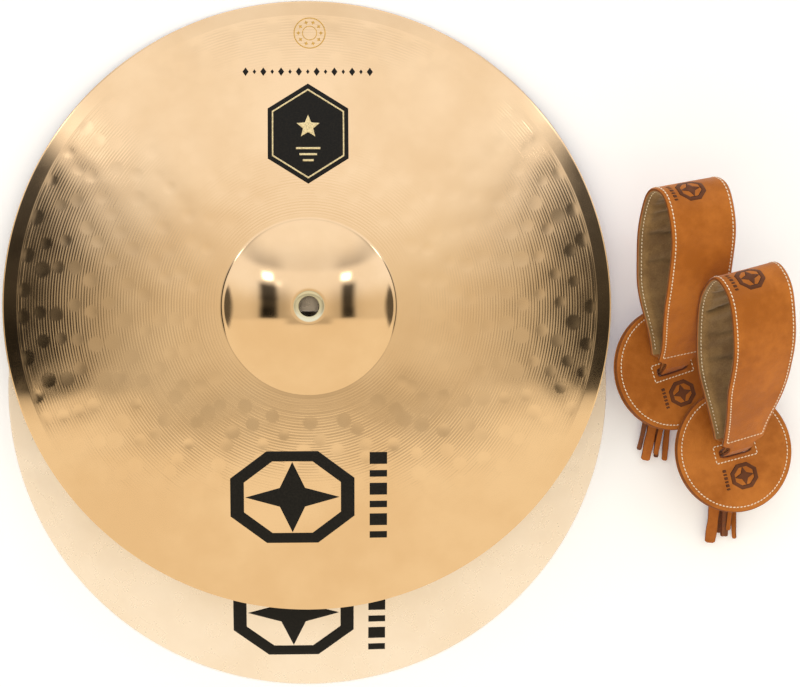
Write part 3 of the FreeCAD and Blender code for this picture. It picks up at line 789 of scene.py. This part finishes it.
def half_width(along):
    """Half the strap's width at a distance from the slot: neck, shoulders, taper, full width."""
    share = ease(GRIP_START, GRIP_START + GRIP_TAPER, along)
    full = (GRIP_START_WIDTH + (GRIP_WIDTH - GRIP_START_WIDTH) * share) / 2
    return NECK / 2 + (full - NECK / 2) * ease(GRIP_START - 5.5 * MM, GRIP_START + 0.5 * MM, along)


def padding_at(angle):
    return PADDING * (1 - math.exp(-loop_along(angle) / (GRIP_START + PADDING)))


RIPPLES = {"left": (0.7, 2.1, 4.0), "right": (3.3, 5.2, 1.4)}


def sway(strap, angle, wide):
    """How far the leather stands off its even line: edges that wave a little, and slow bends."""
    along = loop_along(angle)
    waves = 0.35 * MM * math.sin(9 * angle + RIPPLES[strap][0]) * (abs(wide) / half_width(along)) ** 2
    waves += 0.25 * MM * math.sin(5 * angle + RIPPLES[strap][1])
    return waves * ease(LOOP_START, 6 * LOOP_START, along)


FIRST_ANGLE = angle_at(LOOP_START)
LOOP_STATIONS = 170
TAIL_STATIONS = 7
TAIL_DIVE = 0.6


def loop_angle(station):
    """Angle of a station, packed closer near the slot where the width changes fast."""
    share = station / (LOOP_STATIONS - 1)
    share = share - 0.055 * math.sin(4 * math.pi * share) / (4 * math.pi) * 2
    return FIRST_ANGLE + (2 * math.pi - 2 * FIRST_ANGLE) * share


def build_loop_leather(strap):
    """One strap of leather: up out of the slot, round the hand, and back down through the slot."""
    grip = grip_frame(strap)
    pad = pad_frame(strap)
    around = 44
    total = LOOP_STATIONS + 2 * TAIL_STATIONS

    def loop_place(station, number):
        angle = loop_angle(station)
        half = half_width(loop_along(angle))
        wide, depth, side, flesh = flat_section(number, around, half, LEATHER, LEATHER_ROUNDING)
        y, z = loop_point(angle, depth - sway(strap, angle, wide))
        return grip @ Vector((wide, y, z)), (side, flesh)

    def tail_place(sign, station, step, number):
        """From the loop's end down into the slot, a little crumpled where it dives."""
        wide, depth, side, flesh = flat_section(number, around, NECK / 2, LEATHER, LEATHER_ROUNDING)
        start = grip @ Vector((wide, *loop_point(loop_angle(station), depth)))
        slot_y = sign * (0.25 * MM + LEATHER - depth)
        sunk = (PAD_STACK - 1.5 * MM) * max(step - TAIL_DIVE, 0) / (1 - TAIL_DIVE)
        end = pad @ Vector((wide * 0.96, slot_y, -2.0 * MM - sunk))
        crumple = 0.3 * MM * math.sin(wide / MM * 0.9 + RIPPLES[strap][2])
        crumple *= math.sin(math.pi * min(step / TAIL_DIVE, 1))
        place = start.lerp(end, ease(0.0, TAIL_DIVE, step))
        return place + pad.to_3x3() @ Vector((0, crumple, crumple)), (side, flesh)

    def point_at(station, number):
        past = station - TAIL_STATIONS
        if past < 0:
            return tail_place(-1, 0, -past / TAIL_STATIONS, number)
        if past < LOOP_STATIONS:
            return loop_place(past, number)
        return tail_place(1, LOOP_STATIONS - 1, (past - LOOP_STATIONS + 1) / TAIL_STATIONS, number)

    piece = strip(strap + "_loop_leather", total, around, point_at, None, LEATHER_TAN,
                  ("edge", "flesh"))
    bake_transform(piece)
    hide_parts(strap + "_grip_leather", strap + "_strap_end_far", strap + "_strap_end_near")


# the seed of each lining's creases and the angles at which they lie
WRINKLES = {"left": (11, (2.52, 2.86, 3.12, 3.46, 3.72, 4.02, 4.30, 4.62, 1.9, 1.55)),
            "right": (12, (2.46, 2.80, 3.20, 3.44, 3.80, 4.12, 4.45, 4.75, 2.0, 1.6))}
CREASE_WIDE = 0.020


def build_lining(strap):
    """The suede lining with its padding: swells between its seams and creases across on the inside."""
    grip = grip_frame(strap)
    around = 56
    stations = 190
    first = angle_at(GRIP_START)
    seed, angles = WRINKLES[strap]
    rng = random.Random(seed)
    creases = []
    for angle in angles:
        creases.append((angle, rng.uniform(0.5, 1.0), rng.uniform(-0.5, 0.5), rng.uniform(0, 6)))

    def crease_at(angle, share):
        depth = 0.0
        for middle, deep, slant, phase in creases:
            off = angle - middle - 0.05 * slant * share - 0.022 * math.sin(3.1 * share + phase)
            reach = ease(-1.15, -0.2, share * math.copysign(1, slant)) * 0.85 + 0.15
            depth += deep * reach * math.exp(-(off / CREASE_WIDE) ** 2)
        return depth

    def point_at(station, number):
        angle = first + (2 * math.pi - 2 * first) * station / (stations - 1)
        half = half_width(loop_along(angle)) - 0.8 * MM
        wide = flat_section(number, around, half, 1.0, 0.02)[0]
        against = number < around // 2
        share = wide / half
        hem = ease(0.0, 4.2 * MM, (half - GRIP_STITCH + 0.9 * MM) - abs(wide))
        fill = padding_at(angle) * 1.12 * math.sqrt(hem) * (1 - 0.12 * share * share)
        ripple = 0.28 * MM * math.sin(23 * angle + 2.0 * share) * hem
        ripple += 0.2 * MM * math.sin(41 * angle + 5) * hem
        pinch = crease_at(angle, share) * hem
        skin = LINING * (1 - 0.35 * ease(0.94, 1.0, abs(share)))
        rise = 0.0 if against else skin + fill + ripple - 1.5 * MM * pinch
        y, z = loop_point(angle, LEATHER + max(rise, 0.05 * MM) - sway(strap, angle, wide))
        # the crease depth on the outer face goes to the fold layer, where the suede gets painted shade
        return grip @ Vector((wide, y, z)), (0.0 if against else min(pinch, 1.0),)

    piece = strip(strap + "_lining_suede", stations, around, point_at, strap + "_grip",
                  SUEDE, ("fold",), 70)
    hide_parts(strap + "_grip_lining", strap + "_grip_padding")


# ---------------------------------------------------------------- stitches
def stitch_run(bm, places):
    """One rounded stitch at each place: a matrix with X along the row and Z off the leather.
    Made in batches, because an operator slows down as its mesh grows."""
    shape = Matrix.Diagonal((STITCH_LENGTH / 2, STITCH_WIDE / 2, STITCH_PROUD, 1))
    for first in range(0, len(places), STITCH_BATCH):
        batch = bmesh.new()
        for place in places[first:first + STITCH_BATCH]:
            bmesh.ops.create_uvsphere(batch, u_segments=8, v_segments=6, radius=1.0, matrix=place @ shape)
        mesh = bpy.data.meshes.new("batch")
        batch.to_mesh(mesh)
        batch.free()
        bm.from_mesh(mesh)
        bpy.data.meshes.remove(mesh)


def spaced(points, closed):
    """Places every stitch pitch along a line of (point, outward) pairs."""
    places = []
    line = points + points[:1] if closed else points
    lengths = [(b[0] - a[0]).length for a, b in zip(line, line[1:])]
    count = max(round(sum(lengths) / STITCH_PITCH), 1)
    pitch = sum(lengths) / count
    target = pitch / 2
    walked = 0.0
    for (start, end), length in zip(zip(line, line[1:]), lengths):
        while target <= walked + length and len(places) < count:
            share = (target - walked) / length
            point = start[0].lerp(end[0], share)
            along = (end[0] - start[0]).normalized()
            out = start[1].lerp(end[1], share).normalized()
            side = out.cross(along).normalized()
            turn = Matrix((along, side, along.cross(side))).transposed().to_4x4()
            places.append(Matrix.Translation(point) @ turn @ Matrix.Rotation(0.13, 4, "Z"))
            target += pitch
        walked += length
    return places


def stitched(name, rows, body, replaced=None):
    bm = bmesh.new()
    for points, closed in rows:
        stitch_run(bm, spaced(points, closed))
    mesh = bpy.data.meshes.new(name)
    bm.to_mesh(mesh)
    bm.free()
    mesh.shade_smooth()
    piece = make_object(name, mesh, body, THREAD)
    if replaced:
        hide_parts(*replaced)
    return piece


LOOP_ROW_STEPS = 180
SHOULDER_STEPS = 12


def loop_rows(strap, offset, out_sign):
    """The stitch row on one face of the loop: along both sides, and across above each shoulder."""
    grip = grip_frame(strap)
    first = angle_at(GRIP_START + GRIP_STITCH)
    pitch = (2 * math.pi - 2 * first) / LOOP_ROW_STEPS
    angles = [first + pitch * step for step in range(LOOP_ROW_STEPS + 1)]

    def place(angle, wide):
        y, z = loop_point(angle, offset(angle, wide))
        out_y, out_z = loop_normal(angle)
        out = grip.to_3x3() @ Vector((0, out_y, out_z))
        return grip @ Vector((wide, y, z)), out * out_sign

    def side_row(angle):
        return half_width(loop_along(angle)) - GRIP_STITCH

    end = half_width(GRIP_START + GRIP_STITCH) - GRIP_STITCH
    shoulder = [end * (2 * step / SHOULDER_STEPS - 1) for step in range(1, SHOULDER_STEPS)]
    ring = [place(angle, -side_row(angle)) for angle in angles]
    ring += [place(angles[-1], wide) for wide in shoulder]
    ring += [place(angle, side_row(angle)) for angle in reversed(angles)]
    ring += [place(angles[0], -wide) for wide in shoulder]
    return [(ring, True)]


def build_loop_stitches(strap):
    outer = loop_rows(strap, lambda angle, wide: -sway(strap, angle, wide), 1)
    stitched(strap + "_loop_stitches", outer, strap + "_grip", [strap + "_grip_thread"])
    skin = LEATHER + LINING
    inner = loop_rows(strap, lambda angle, wide: skin - sway(strap, angle, wide), -1)
    stitched(strap + "_lining_stitches", inner, strap + "_grip")


# ---------------------------------------------------------------- the pad
def slot_point(angle, long, short):
    """Point of a rounded oblong of those sizes at an angle."""
    def corner(value):
        return math.copysign(abs(value) ** 0.42, value)
    return long / 2 * corner(math.cos(angle)), short / 2 * corner(math.sin(angle))


PAD_PHASE = {"left": 1.3, "right": 4.1}
PAD_AROUND = 144
PAD_ROW_STEPS = 240
SLOT_ROW_STEPS = 10
# stations of the pad's section, from slot to rim: share of the way out, drop below the face in
# millimetres, and how burnished and how rough the leather is there
PAD_LIPS = ((0.0, 2.4, 1.0, 1.0), (0.0, 1.2, 1.0, 0.5), (0.006, 0.5, 0.9, 0.2), (0.025, 0.05, 0.4, 0.0))
PAD_EDGE = ((0.968, 0.02, 0.25, 0.0), (0.982, 0.14, 0.6, 0.0), (0.992, 0.4, 0.85, 0.0),
            (0.998, 0.8, 1.0, 0.0), (1.0, 1.2, 1.0, 0.2), (0.999, 1.9, 1.0, 0.5), (0.992, 2.4, 1.0, 1.0))
PAD_FLAT = [0.05 + 0.81 * step / 16 for step in range(17)] + [0.875 + 0.09 * step / 8 for step in range(8)]


def pad_rise(reach, angle, phase):
    """How far the pad's face stands off its plane: soft waves, and a furrow under the stitches."""
    wave = 0.28 * MM * math.sin(2 * angle + phase) * (reach / PAD_RADIUS) ** 2
    wave += 0.14 * MM * math.sin(5 * angle + 2 * phase) * (reach / PAD_RADIUS) ** 3
    furrow = math.exp(-((reach - PAD_RADIUS + PAD_STITCH) / (1.0 * MM)) ** 2)
    crown = 0.35 * MM * (1 - (2 * reach / PAD_RADIUS - 1) ** 2)
    return wave + max(crown, 0.0) - 0.32 * MM * furrow


def build_pad_face(strap):
    """The pad's face leather: burnished rounded edge, furrow for the stitches, slot with turned-in lips."""
    on_pad = pad_frame(strap)
    phase = PAD_PHASE[strap]
    section = [*PAD_LIPS, *((share, 0.0, 0.0, 0.0) for share in PAD_FLAT), *PAD_EDGE]

    def point_at(station, number):
        angle = 2 * math.pi * number / PAD_AROUND
        share, drop, edge, flesh = section[station]
        slot_x, slot_y = slot_point(angle, SLOT_LONG, SLOT_SHORT)
        rim_x, rim_y = PAD_RADIUS * math.cos(angle), PAD_RADIUS * math.sin(angle)
        x = slot_x + (rim_x - slot_x) * share
        y = slot_y + (rim_y - slot_y) * share
        near_face = drop < 1.5
        rise = pad_rise(math.hypot(x, y), angle, phase) if near_face else 0.0
        return on_pad @ Vector((x, y, rise - drop * MM)), (edge, flesh)

    bm = rolled(len(section), PAD_AROUND, point_at, ("edge", "flesh"))
    bmesh.ops.bridge_loops(bm, edges=open_edges(bm))
    mesh = finished(bm, strap + "_pad_leather", sharp=60)
    piece = make_object(strap + "_pad_leather", mesh, strap + "_pad", LEATHER_PAD)
    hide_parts(strap + "_pad_face")


def pad_surface(strap, x, y, proud=0.0):
    """The point that far off the pad's face."""
    rise = pad_rise(math.hypot(x, y), math.atan2(y, x), PAD_PHASE[strap])
    return pad_frame(strap) @ Vector((x, y, rise + proud))


def build_pad_stitches(strap):
    """The row round the pad's edge, and the four rows round its slot."""
    up = pad_frame(strap).to_3x3() @ Vector((0, 0, 1))
    reach = PAD_RADIUS - PAD_STITCH
    ring = []
    for step in range(PAD_ROW_STEPS):
        angle = 2 * math.pi * step / PAD_ROW_STEPS
        ring.append((pad_surface(strap, math.cos(angle) * reach, math.sin(angle) * reach), up))
    stitched(strap + "_pad_edge_stitches", [(ring, True)], strap + "_pad", [strap + "_pad_edge_thread"])
    corners = [Vector((x * SLOT_STITCH[0] / 2, y * SLOT_STITCH[1] / 2))
               for x, y in ((-1, -1), (1, -1), (1, 1), (-1, 1))]
    rows = []
    for start, end in zip(corners, corners[1:] + corners[:1]):
        steps = [start.lerp(end, step / SLOT_ROW_STEPS) for step in range(SLOT_ROW_STEPS + 1)]
        rows.append(([(pad_surface(strap, *at), up) for at in steps], False))
    stitched(strap + "_slot_stitches", rows, strap + "_pad", [strap + "_pad_slot_thread"])


# ---------------------------------------------------------------- marks pressed into the leather
PAD_MARK = (2.5 * MM, -20.5 * MM)
LOOP_MARK_ASIDE = -3.0 * MM
LOOP_MARK_ANGLE = 2.97
WALK = 0.002


def stamp(bm, shift=0.0):
    """A small star in an eight-sided ring with a short ladder of bars beside it."""
    band(bm, 8, 11.6 * MM, 8.4 * MM, (shift, -shift), math.pi / 8, (1.0, 0.9))
    star(bm, 4, 7.6 * MM, 3.3 * MM, (shift, -shift), math.pi / 2, (1.0, 0.9))
    for number in range(6):
        high = (1.8, 1.1)[number % 2] * MM
        block(bm, 2.6 * MM, high, (shift - 15 * MM, (7.0 - 2.8 * number) * MM - shift))


# the two films of a pressed mark, the first a painted shadow, in millimetres: how far each is moved aside
# and stands proud
PRESSINGS = (("_shade", -0.35, 0.05, PAINTED_SHADOW_LEATHER), ("", 0.0, 0.09, PRESSED_LEATHER))


def set_leather(mesh, edge, flesh):
    """Even edge and flesh values, for the leather material."""
    set_attribute(mesh, "edge", np.full(len(mesh.vertices), edge))
    set_attribute(mesh, "flesh", np.full(len(mesh.vertices), flesh))


def press(name, surface, body):
    """A dark copy of the mark as painted shadow, and over it the pressed mark a little to one side, so that
    the painted shadow shows along one edge and reads as its depth.
    """
    for label, shift, proud, leather in PRESSINGS:
        bm = bmesh.new()
        stamp(bm, shift * MM)
        piece = lay_film(name + label, bm, surface, Matrix.Identity(4), body, leather,
                         step=1.6 * MM, proud=proud * MM)
        set_leather(piece.data, 0.0, 0.0)


def press_marks(strap):
    """One mark on the pad and one on the outside of the hand loop."""
    grip = grip_frame(strap)

    def on_face(x, y, proud):
        return pad_surface(strap, x + PAD_MARK[0], y + PAD_MARK[1], proud)

    def on_loop(x, y, proud):
        """Walks along the loop from the mark's middle until it has gone as far as y."""
        angle = LOOP_MARK_ANGLE
        start = Vector(loop_point(angle, 0.0))
        walked = 0.0
        while walked < abs(y):
            angle += math.copysign(WALK, y)
            point = Vector(loop_point(angle, 0.0))
            walked += (point - start).length
            start = point
        wide = x + LOOP_MARK_ASIDE
        return grip @ Vector((wide, *loop_point(angle, -proud - sway(strap, angle, wide))))

    press(strap + "_pad_mark", on_face, strap + "_pad")
    press(strap + "_loop_mark", on_loop, strap + "_grip")


# ---------------------------------------------------------------- thongs
# for each row, front end first: width of the strip, how far it falls short of the longest, how much of
# the width shows, twist in degrees at its tip, and which side is up (0 grain, 1 flesh)
THONGS = {
    "left": {"front": ((5.2, 7.0, 0.72, 38, 1), (7.6, 0.0, 0.97, 3, 0), (5.2, 6.0, 0.84, -10, 0)),
             "back": ((6.0, 9.0, 0.74, 25, 1), (6.0, 3.0, 0.7, -30, 1), (6.0, 1.0, 0.78, 12, 0))},
    "right": {"front": ((10.6, 0.0, 0.80, 4, 0), (4.4, 6.0, 0.84, -34, 1), (4.4, 11.0, 0.84, 26, 0)),
              "back": ((6.0, 8.0, 0.7, 30, 1), (6.0, 5.0, 0.66, -24, 1), (6.0, 3.0, 0.62, 36, 0))},
}
THONG_SEEDS = {"left": {"front": 5, "back": 4}, "right": {"front": 10, "back": 9}}
THONG_AROUND = 20
ROW_TURN = {"front": 0.0, "back": 7.0}
THONG_ROOT = 3.0 * MM
THONG_LEAD = {"front": 9.0 * MM, "back": 3.0 * MM}
THONG_BEND = 8.0 * MM
THONG_SLOPE = math.radians(30)


def thong_line(top, rest, lead, reach):
    """A thong's middle line, along and up at every millimetre: level, sloping down, then flat. Gives also
    where it reaches the table."""
    corner = THONG_BEND * math.tan(THONG_SLOPE / 2)
    knee = lead + corner
    ankle = knee + (top - rest) / math.tan(THONG_SLOPE)

    def height(along):
        if along < knee:
            return top - corner / 4 * ease(knee - 2 * corner, knee + corner, along)
        return max(top - (along - knee) * math.tan(THONG_SLOPE), rest)

    count = int((reach + THONG_ROOT) / MM)
    line = [-THONG_ROOT + (reach + THONG_ROOT) * step / count for step in range(count + 1)]
    window = [corner * step / 3 for step in range(-3, 4)]
    return [(along, sum(height(along + w) for w in window) / len(window)) for along in line], ankle


def build_thongs(strap, row):
    """A row of three thongs: level under the pad, down to the table, and twisting a little at the tips."""
    lay = STRAPS[strap]
    pivot = Vector(JOINTS["%s_%s_thongs_swing" % (strap, row)]["pos_m"])
    heading = turned((0, 0, 1), lay["thong_heading"] + ROW_TURN[row])
    row_frame = Matrix.Translation((pivot.x, pivot.y, 0)) @ heading
    layer = 0.0 if row == "back" else THONG_LAYER
    top = lay["thong_top"] * MM - (THONG_LAYER if row == "back" else 0.0)
    rest = THONG_THICK / 2 + layer
    plan = THONGS[strap][row]
    side = -(sum(entry[0] for entry in plan) * MM + 2 * THONG_GAP) / 2
    rng = random.Random(THONG_SEEDS[strap][row])
    for number, (wide, short, share, twist, flesh_up) in enumerate(plan, start=1):
        reach = (lay["thong_reach"] - short) * MM
        line, ankle = thong_line(top, rest, THONG_LEAD[row], reach)
        middle = side + wide * MM / 2
        half = wide * share * MM / 2
        room = wide * (1 - share) * MM / 2
        phase = rng.uniform(0, 6)
        lean = rng.uniform(-0.9, 0.9) * room
        curl = rng.uniform(0.3, 1.6) * MM
        side += wide * MM + THONG_GAP

        def point_at(station, corner):
            along, up = line[station]
            past = ease(ankle - 6 * MM, reach, along)
            tip = max(1 - (reach - along) / (1.6 * MM), 0.0)
            narrow = 1 - 0.42 * (1 - math.sqrt(max(1 - tip ** 2, 0.0)))
            wide_here = half * narrow * (1 + 0.05 * math.sin(along / MM * 0.35 + phase))
            aside, depth, near, inner = flat_section(corner, THONG_AROUND, wide_here, THONG_THICK * 0.92,
                                                     0.6 * MM)
            off = THONG_THICK / 2 - depth
            turn = math.radians(twist) * past
            x = aside * math.cos(turn) - off * math.sin(turn)
            z = aside * math.sin(turn) + off * math.cos(turn)
            lift = half * abs(math.sin(turn)) + curl * past ** 3
            wave = room * 0.6 * math.sin(along / MM * 0.09 + phase) * past + lean * past
            place = row_frame @ Vector((middle + x + wave, -along, up + z + lift))
            return place, (near, abs(inner - flesh_up))

        name = "%s_%s_thong_%d" % (strap, row, number)
        piece = strip(name + "_leather", len(line), THONG_AROUND, point_at, "%s_%s_thongs" % (strap, row),
                      THONG_LEATHER, ("edge", "flesh"))
        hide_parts(name)


# ---------------------------------------------------------------- CAD nodes that stay
def dress(node, material):
    mesh = frame["nodes"][node].data
    mesh.materials.clear()
    mesh.materials.append(material)
    return mesh


for strap in STRAPS:
    build_pad_face(strap)
    build_pad_stitches(strap)
    build_loop_leather(strap)
    build_lining(strap)
    build_loop_stitches(strap)
    set_leather(dress(strap + "_pad_back", LEATHER_PAD), 0.45, 0.6)
    dress(strap + "_pad_felt", FELT)
    press_marks(strap)
    for row in ROW_TURN:
        build_thongs(strap, row)


# ---------------------------------------------------------------- floor, light and camera
FLOOR_HALF = 12.0
FLOOR_DROP = 0.4 * MM


def build_floor():
    bm = bmesh.new()
    bmesh.ops.create_grid(bm, x_segments=8, y_segments=8, size=FLOOR_HALF)
    bmesh.ops.translate(bm, verts=bm.verts, vec=(0, 0, -FLOOR_DROP))
    mesh = bpy.data.meshes.new("floor")
    bm.to_mesh(mesh)
    bm.free()
    mesh.materials.append(BOARD)
    floor = bpy.data.objects.new("floor", mesh)
    bpy.context.scene.collection.objects.link(floor)


# the tent's darker parts as seen from the set: spans of the direction's X and Y parts, softness of the
# span and of its near edge, and how much it darkens
TENT_LEVEL = 1.33
FLAG_LEFT, FLAG_RIGHT = (-0.70, -0.475), (0.49, 0.66)
SHADES = (
    # the two flags, and their feet
    (FLAG_LEFT, (-0.10, 0.40), 0.05, 0.012, 0.91),
    (FLAG_RIGHT, (-0.10, 0.40), 0.05, 0.012, 0.90),
    ((-0.70, -0.50), (-0.10, 0.06), 0.05, 0.012, 0.66),
    ((0.52, 0.66), (-0.10, 0.06), 0.05, 0.012, 0.45),
    ((-0.70, -0.46), (0.17, 0.21), 0.05, 0.015, 0.5),
    # the half shade beside each flag
    ((-0.72, -0.30), (-0.10, 0.34), 0.13, 0.015, 0.36),
    ((0.36, 0.70), (-0.10, 0.34), 0.13, 0.015, 0.26),
    # the seams of the tent's top, and a fold below the middle
    ((-0.76, -0.40), (0.60, 0.74), 0.12, 0.05, 0.42),
    ((0.40, 0.76), (0.60, 0.74), 0.12, 0.05, 0.42),
    ((-0.42, 0.42), (0.60, 0.82), 0.12, 0.05, 0.12),
    ((-0.34, 0.34), (-0.19, -0.10), 0.08, 0.03, 0.42),
    # its openings, level with the set
    ((0.958, 1.2), (-0.30, 0.42), 0.012, 0.03, 0.85),
    ((-1.2, -0.958), (-0.30, 0.42), 0.012, 0.03, 0.85))
# the lamps: the same spans and softness, and how strongly each shines
LAMPS = (((-0.64, -0.53), (0.45, 0.53), 0.035, 0.03, 4.5),
         ((0.48, 0.59), (0.45, 0.53), 0.035, 0.03, 4.0),
         ((-0.50, -0.41), (0.37, 0.44), 0.04, 0.03, 0.5))


def build_light():
    """A white light tent over the set, with a dark flag to each side and a lamp beyond each flag."""
    world = bpy.data.worlds.new("light_tent")
    bpy.context.scene.world = world
    world.use_nodes = True
    add = node_adder(world.node_tree)
    way = add("TexCoord", output="Generated")
    x = add("SeparateXYZ", way, output="X")
    y = add("SeparateXYZ", way, output="Y")

    def patch(x_range, y_range, soft, near_soft):
        share = 1.0
        for part, (low, high), low_soft in ((x, x_range, soft), (y, y_range, near_soft)):
            start = add("MapRange", part, low - low_soft, low + low_soft, **SMOOTH)
            end = add("MapRange", part, high - soft, high + soft, 1.0, 0.0, **SMOOTH)
            share = add("Math", share, add("Math", start, end, **TIMES), **TIMES)
        return share

    level = add("Math", 0.79, add("MapRange", y, 0.05, 0.40, 0.0, 0.26, **SMOOTH), **PLUS)
    level = add("Math", level, add("MapRange", y, -0.16, -0.10, 0.15, 0.0, **SMOOTH), **PLUS)
    for *span, depth in SHADES:
        shade = add("Math", patch(*span), depth, **TIMES)
        level = add("Math", level, add("Math", 1.0, shade, operation="SUBTRACT"), **TIMES)
    for *span, strength in LAMPS:
        level = add("Math", level, add("Math", patch(*span), strength, **TIMES), **PLUS)
    warmth = add("MapRange", y, 0.05, 0.42, **SMOOTH)
    tint = add("Mix", warmth, colour("#fff3da"), colour("#ffffff"), **BLEND)
    add("OutputWorld", add("Background", tint, add("Math", level, TENT_LEVEL, **TIMES)))


CAMERA_AWAY = 1.45
CAMERA_LENS = 86.65
FILM_WIDTH = 36
AIM_ASIDE = Vector((-1.5 * MM, 5 * MM, 0))
AIM_HEIGHT = 12 * MM


def build_camera():
    """Looks down the upper cymbal's own axis from above, with the whole set in view."""
    axis = Vector(MOUNTS["upper_bell_hole"]["axis"])
    centre = Vector(MOUNTS["upper_bell_hole"]["pos_m"]) - axis * BORE_HEIGHT
    place = centre + axis * CAMERA_AWAY
    middle = (Vector(cad_bounds[0]) + Vector(cad_bounds[1])) / 2
    aim = Vector((middle.x, middle.y, AIM_HEIGHT)) + AIM_ASIDE
    data = bpy.data.cameras.new("camera")
    data.lens = CAMERA_LENS
    data.sensor_width = FILM_WIDTH
    camera = bpy.data.objects.new("camera", data)
    bpy.context.scene.collection.objects.link(camera)
    ahead = (aim - place).normalized()
    right = ahead.cross(Vector((0, 1, 0))).normalized()
    turn = Matrix((right, right.cross(ahead), -ahead)).transposed().to_4x4()
    camera.matrix_world = Matrix.Translation(place) @ turn
    bpy.context.scene.camera = camera


# the cymbals and the straps are lit apart: the straps don't show in the polished bronze
for item in bpy.data.objects:
    if item.name.startswith(("left_", "right_")):
        item.visible_glossy = False

build_floor()
build_light()
build_camera()
bpy.context.scene.view_settings.view_transform = "Standard"
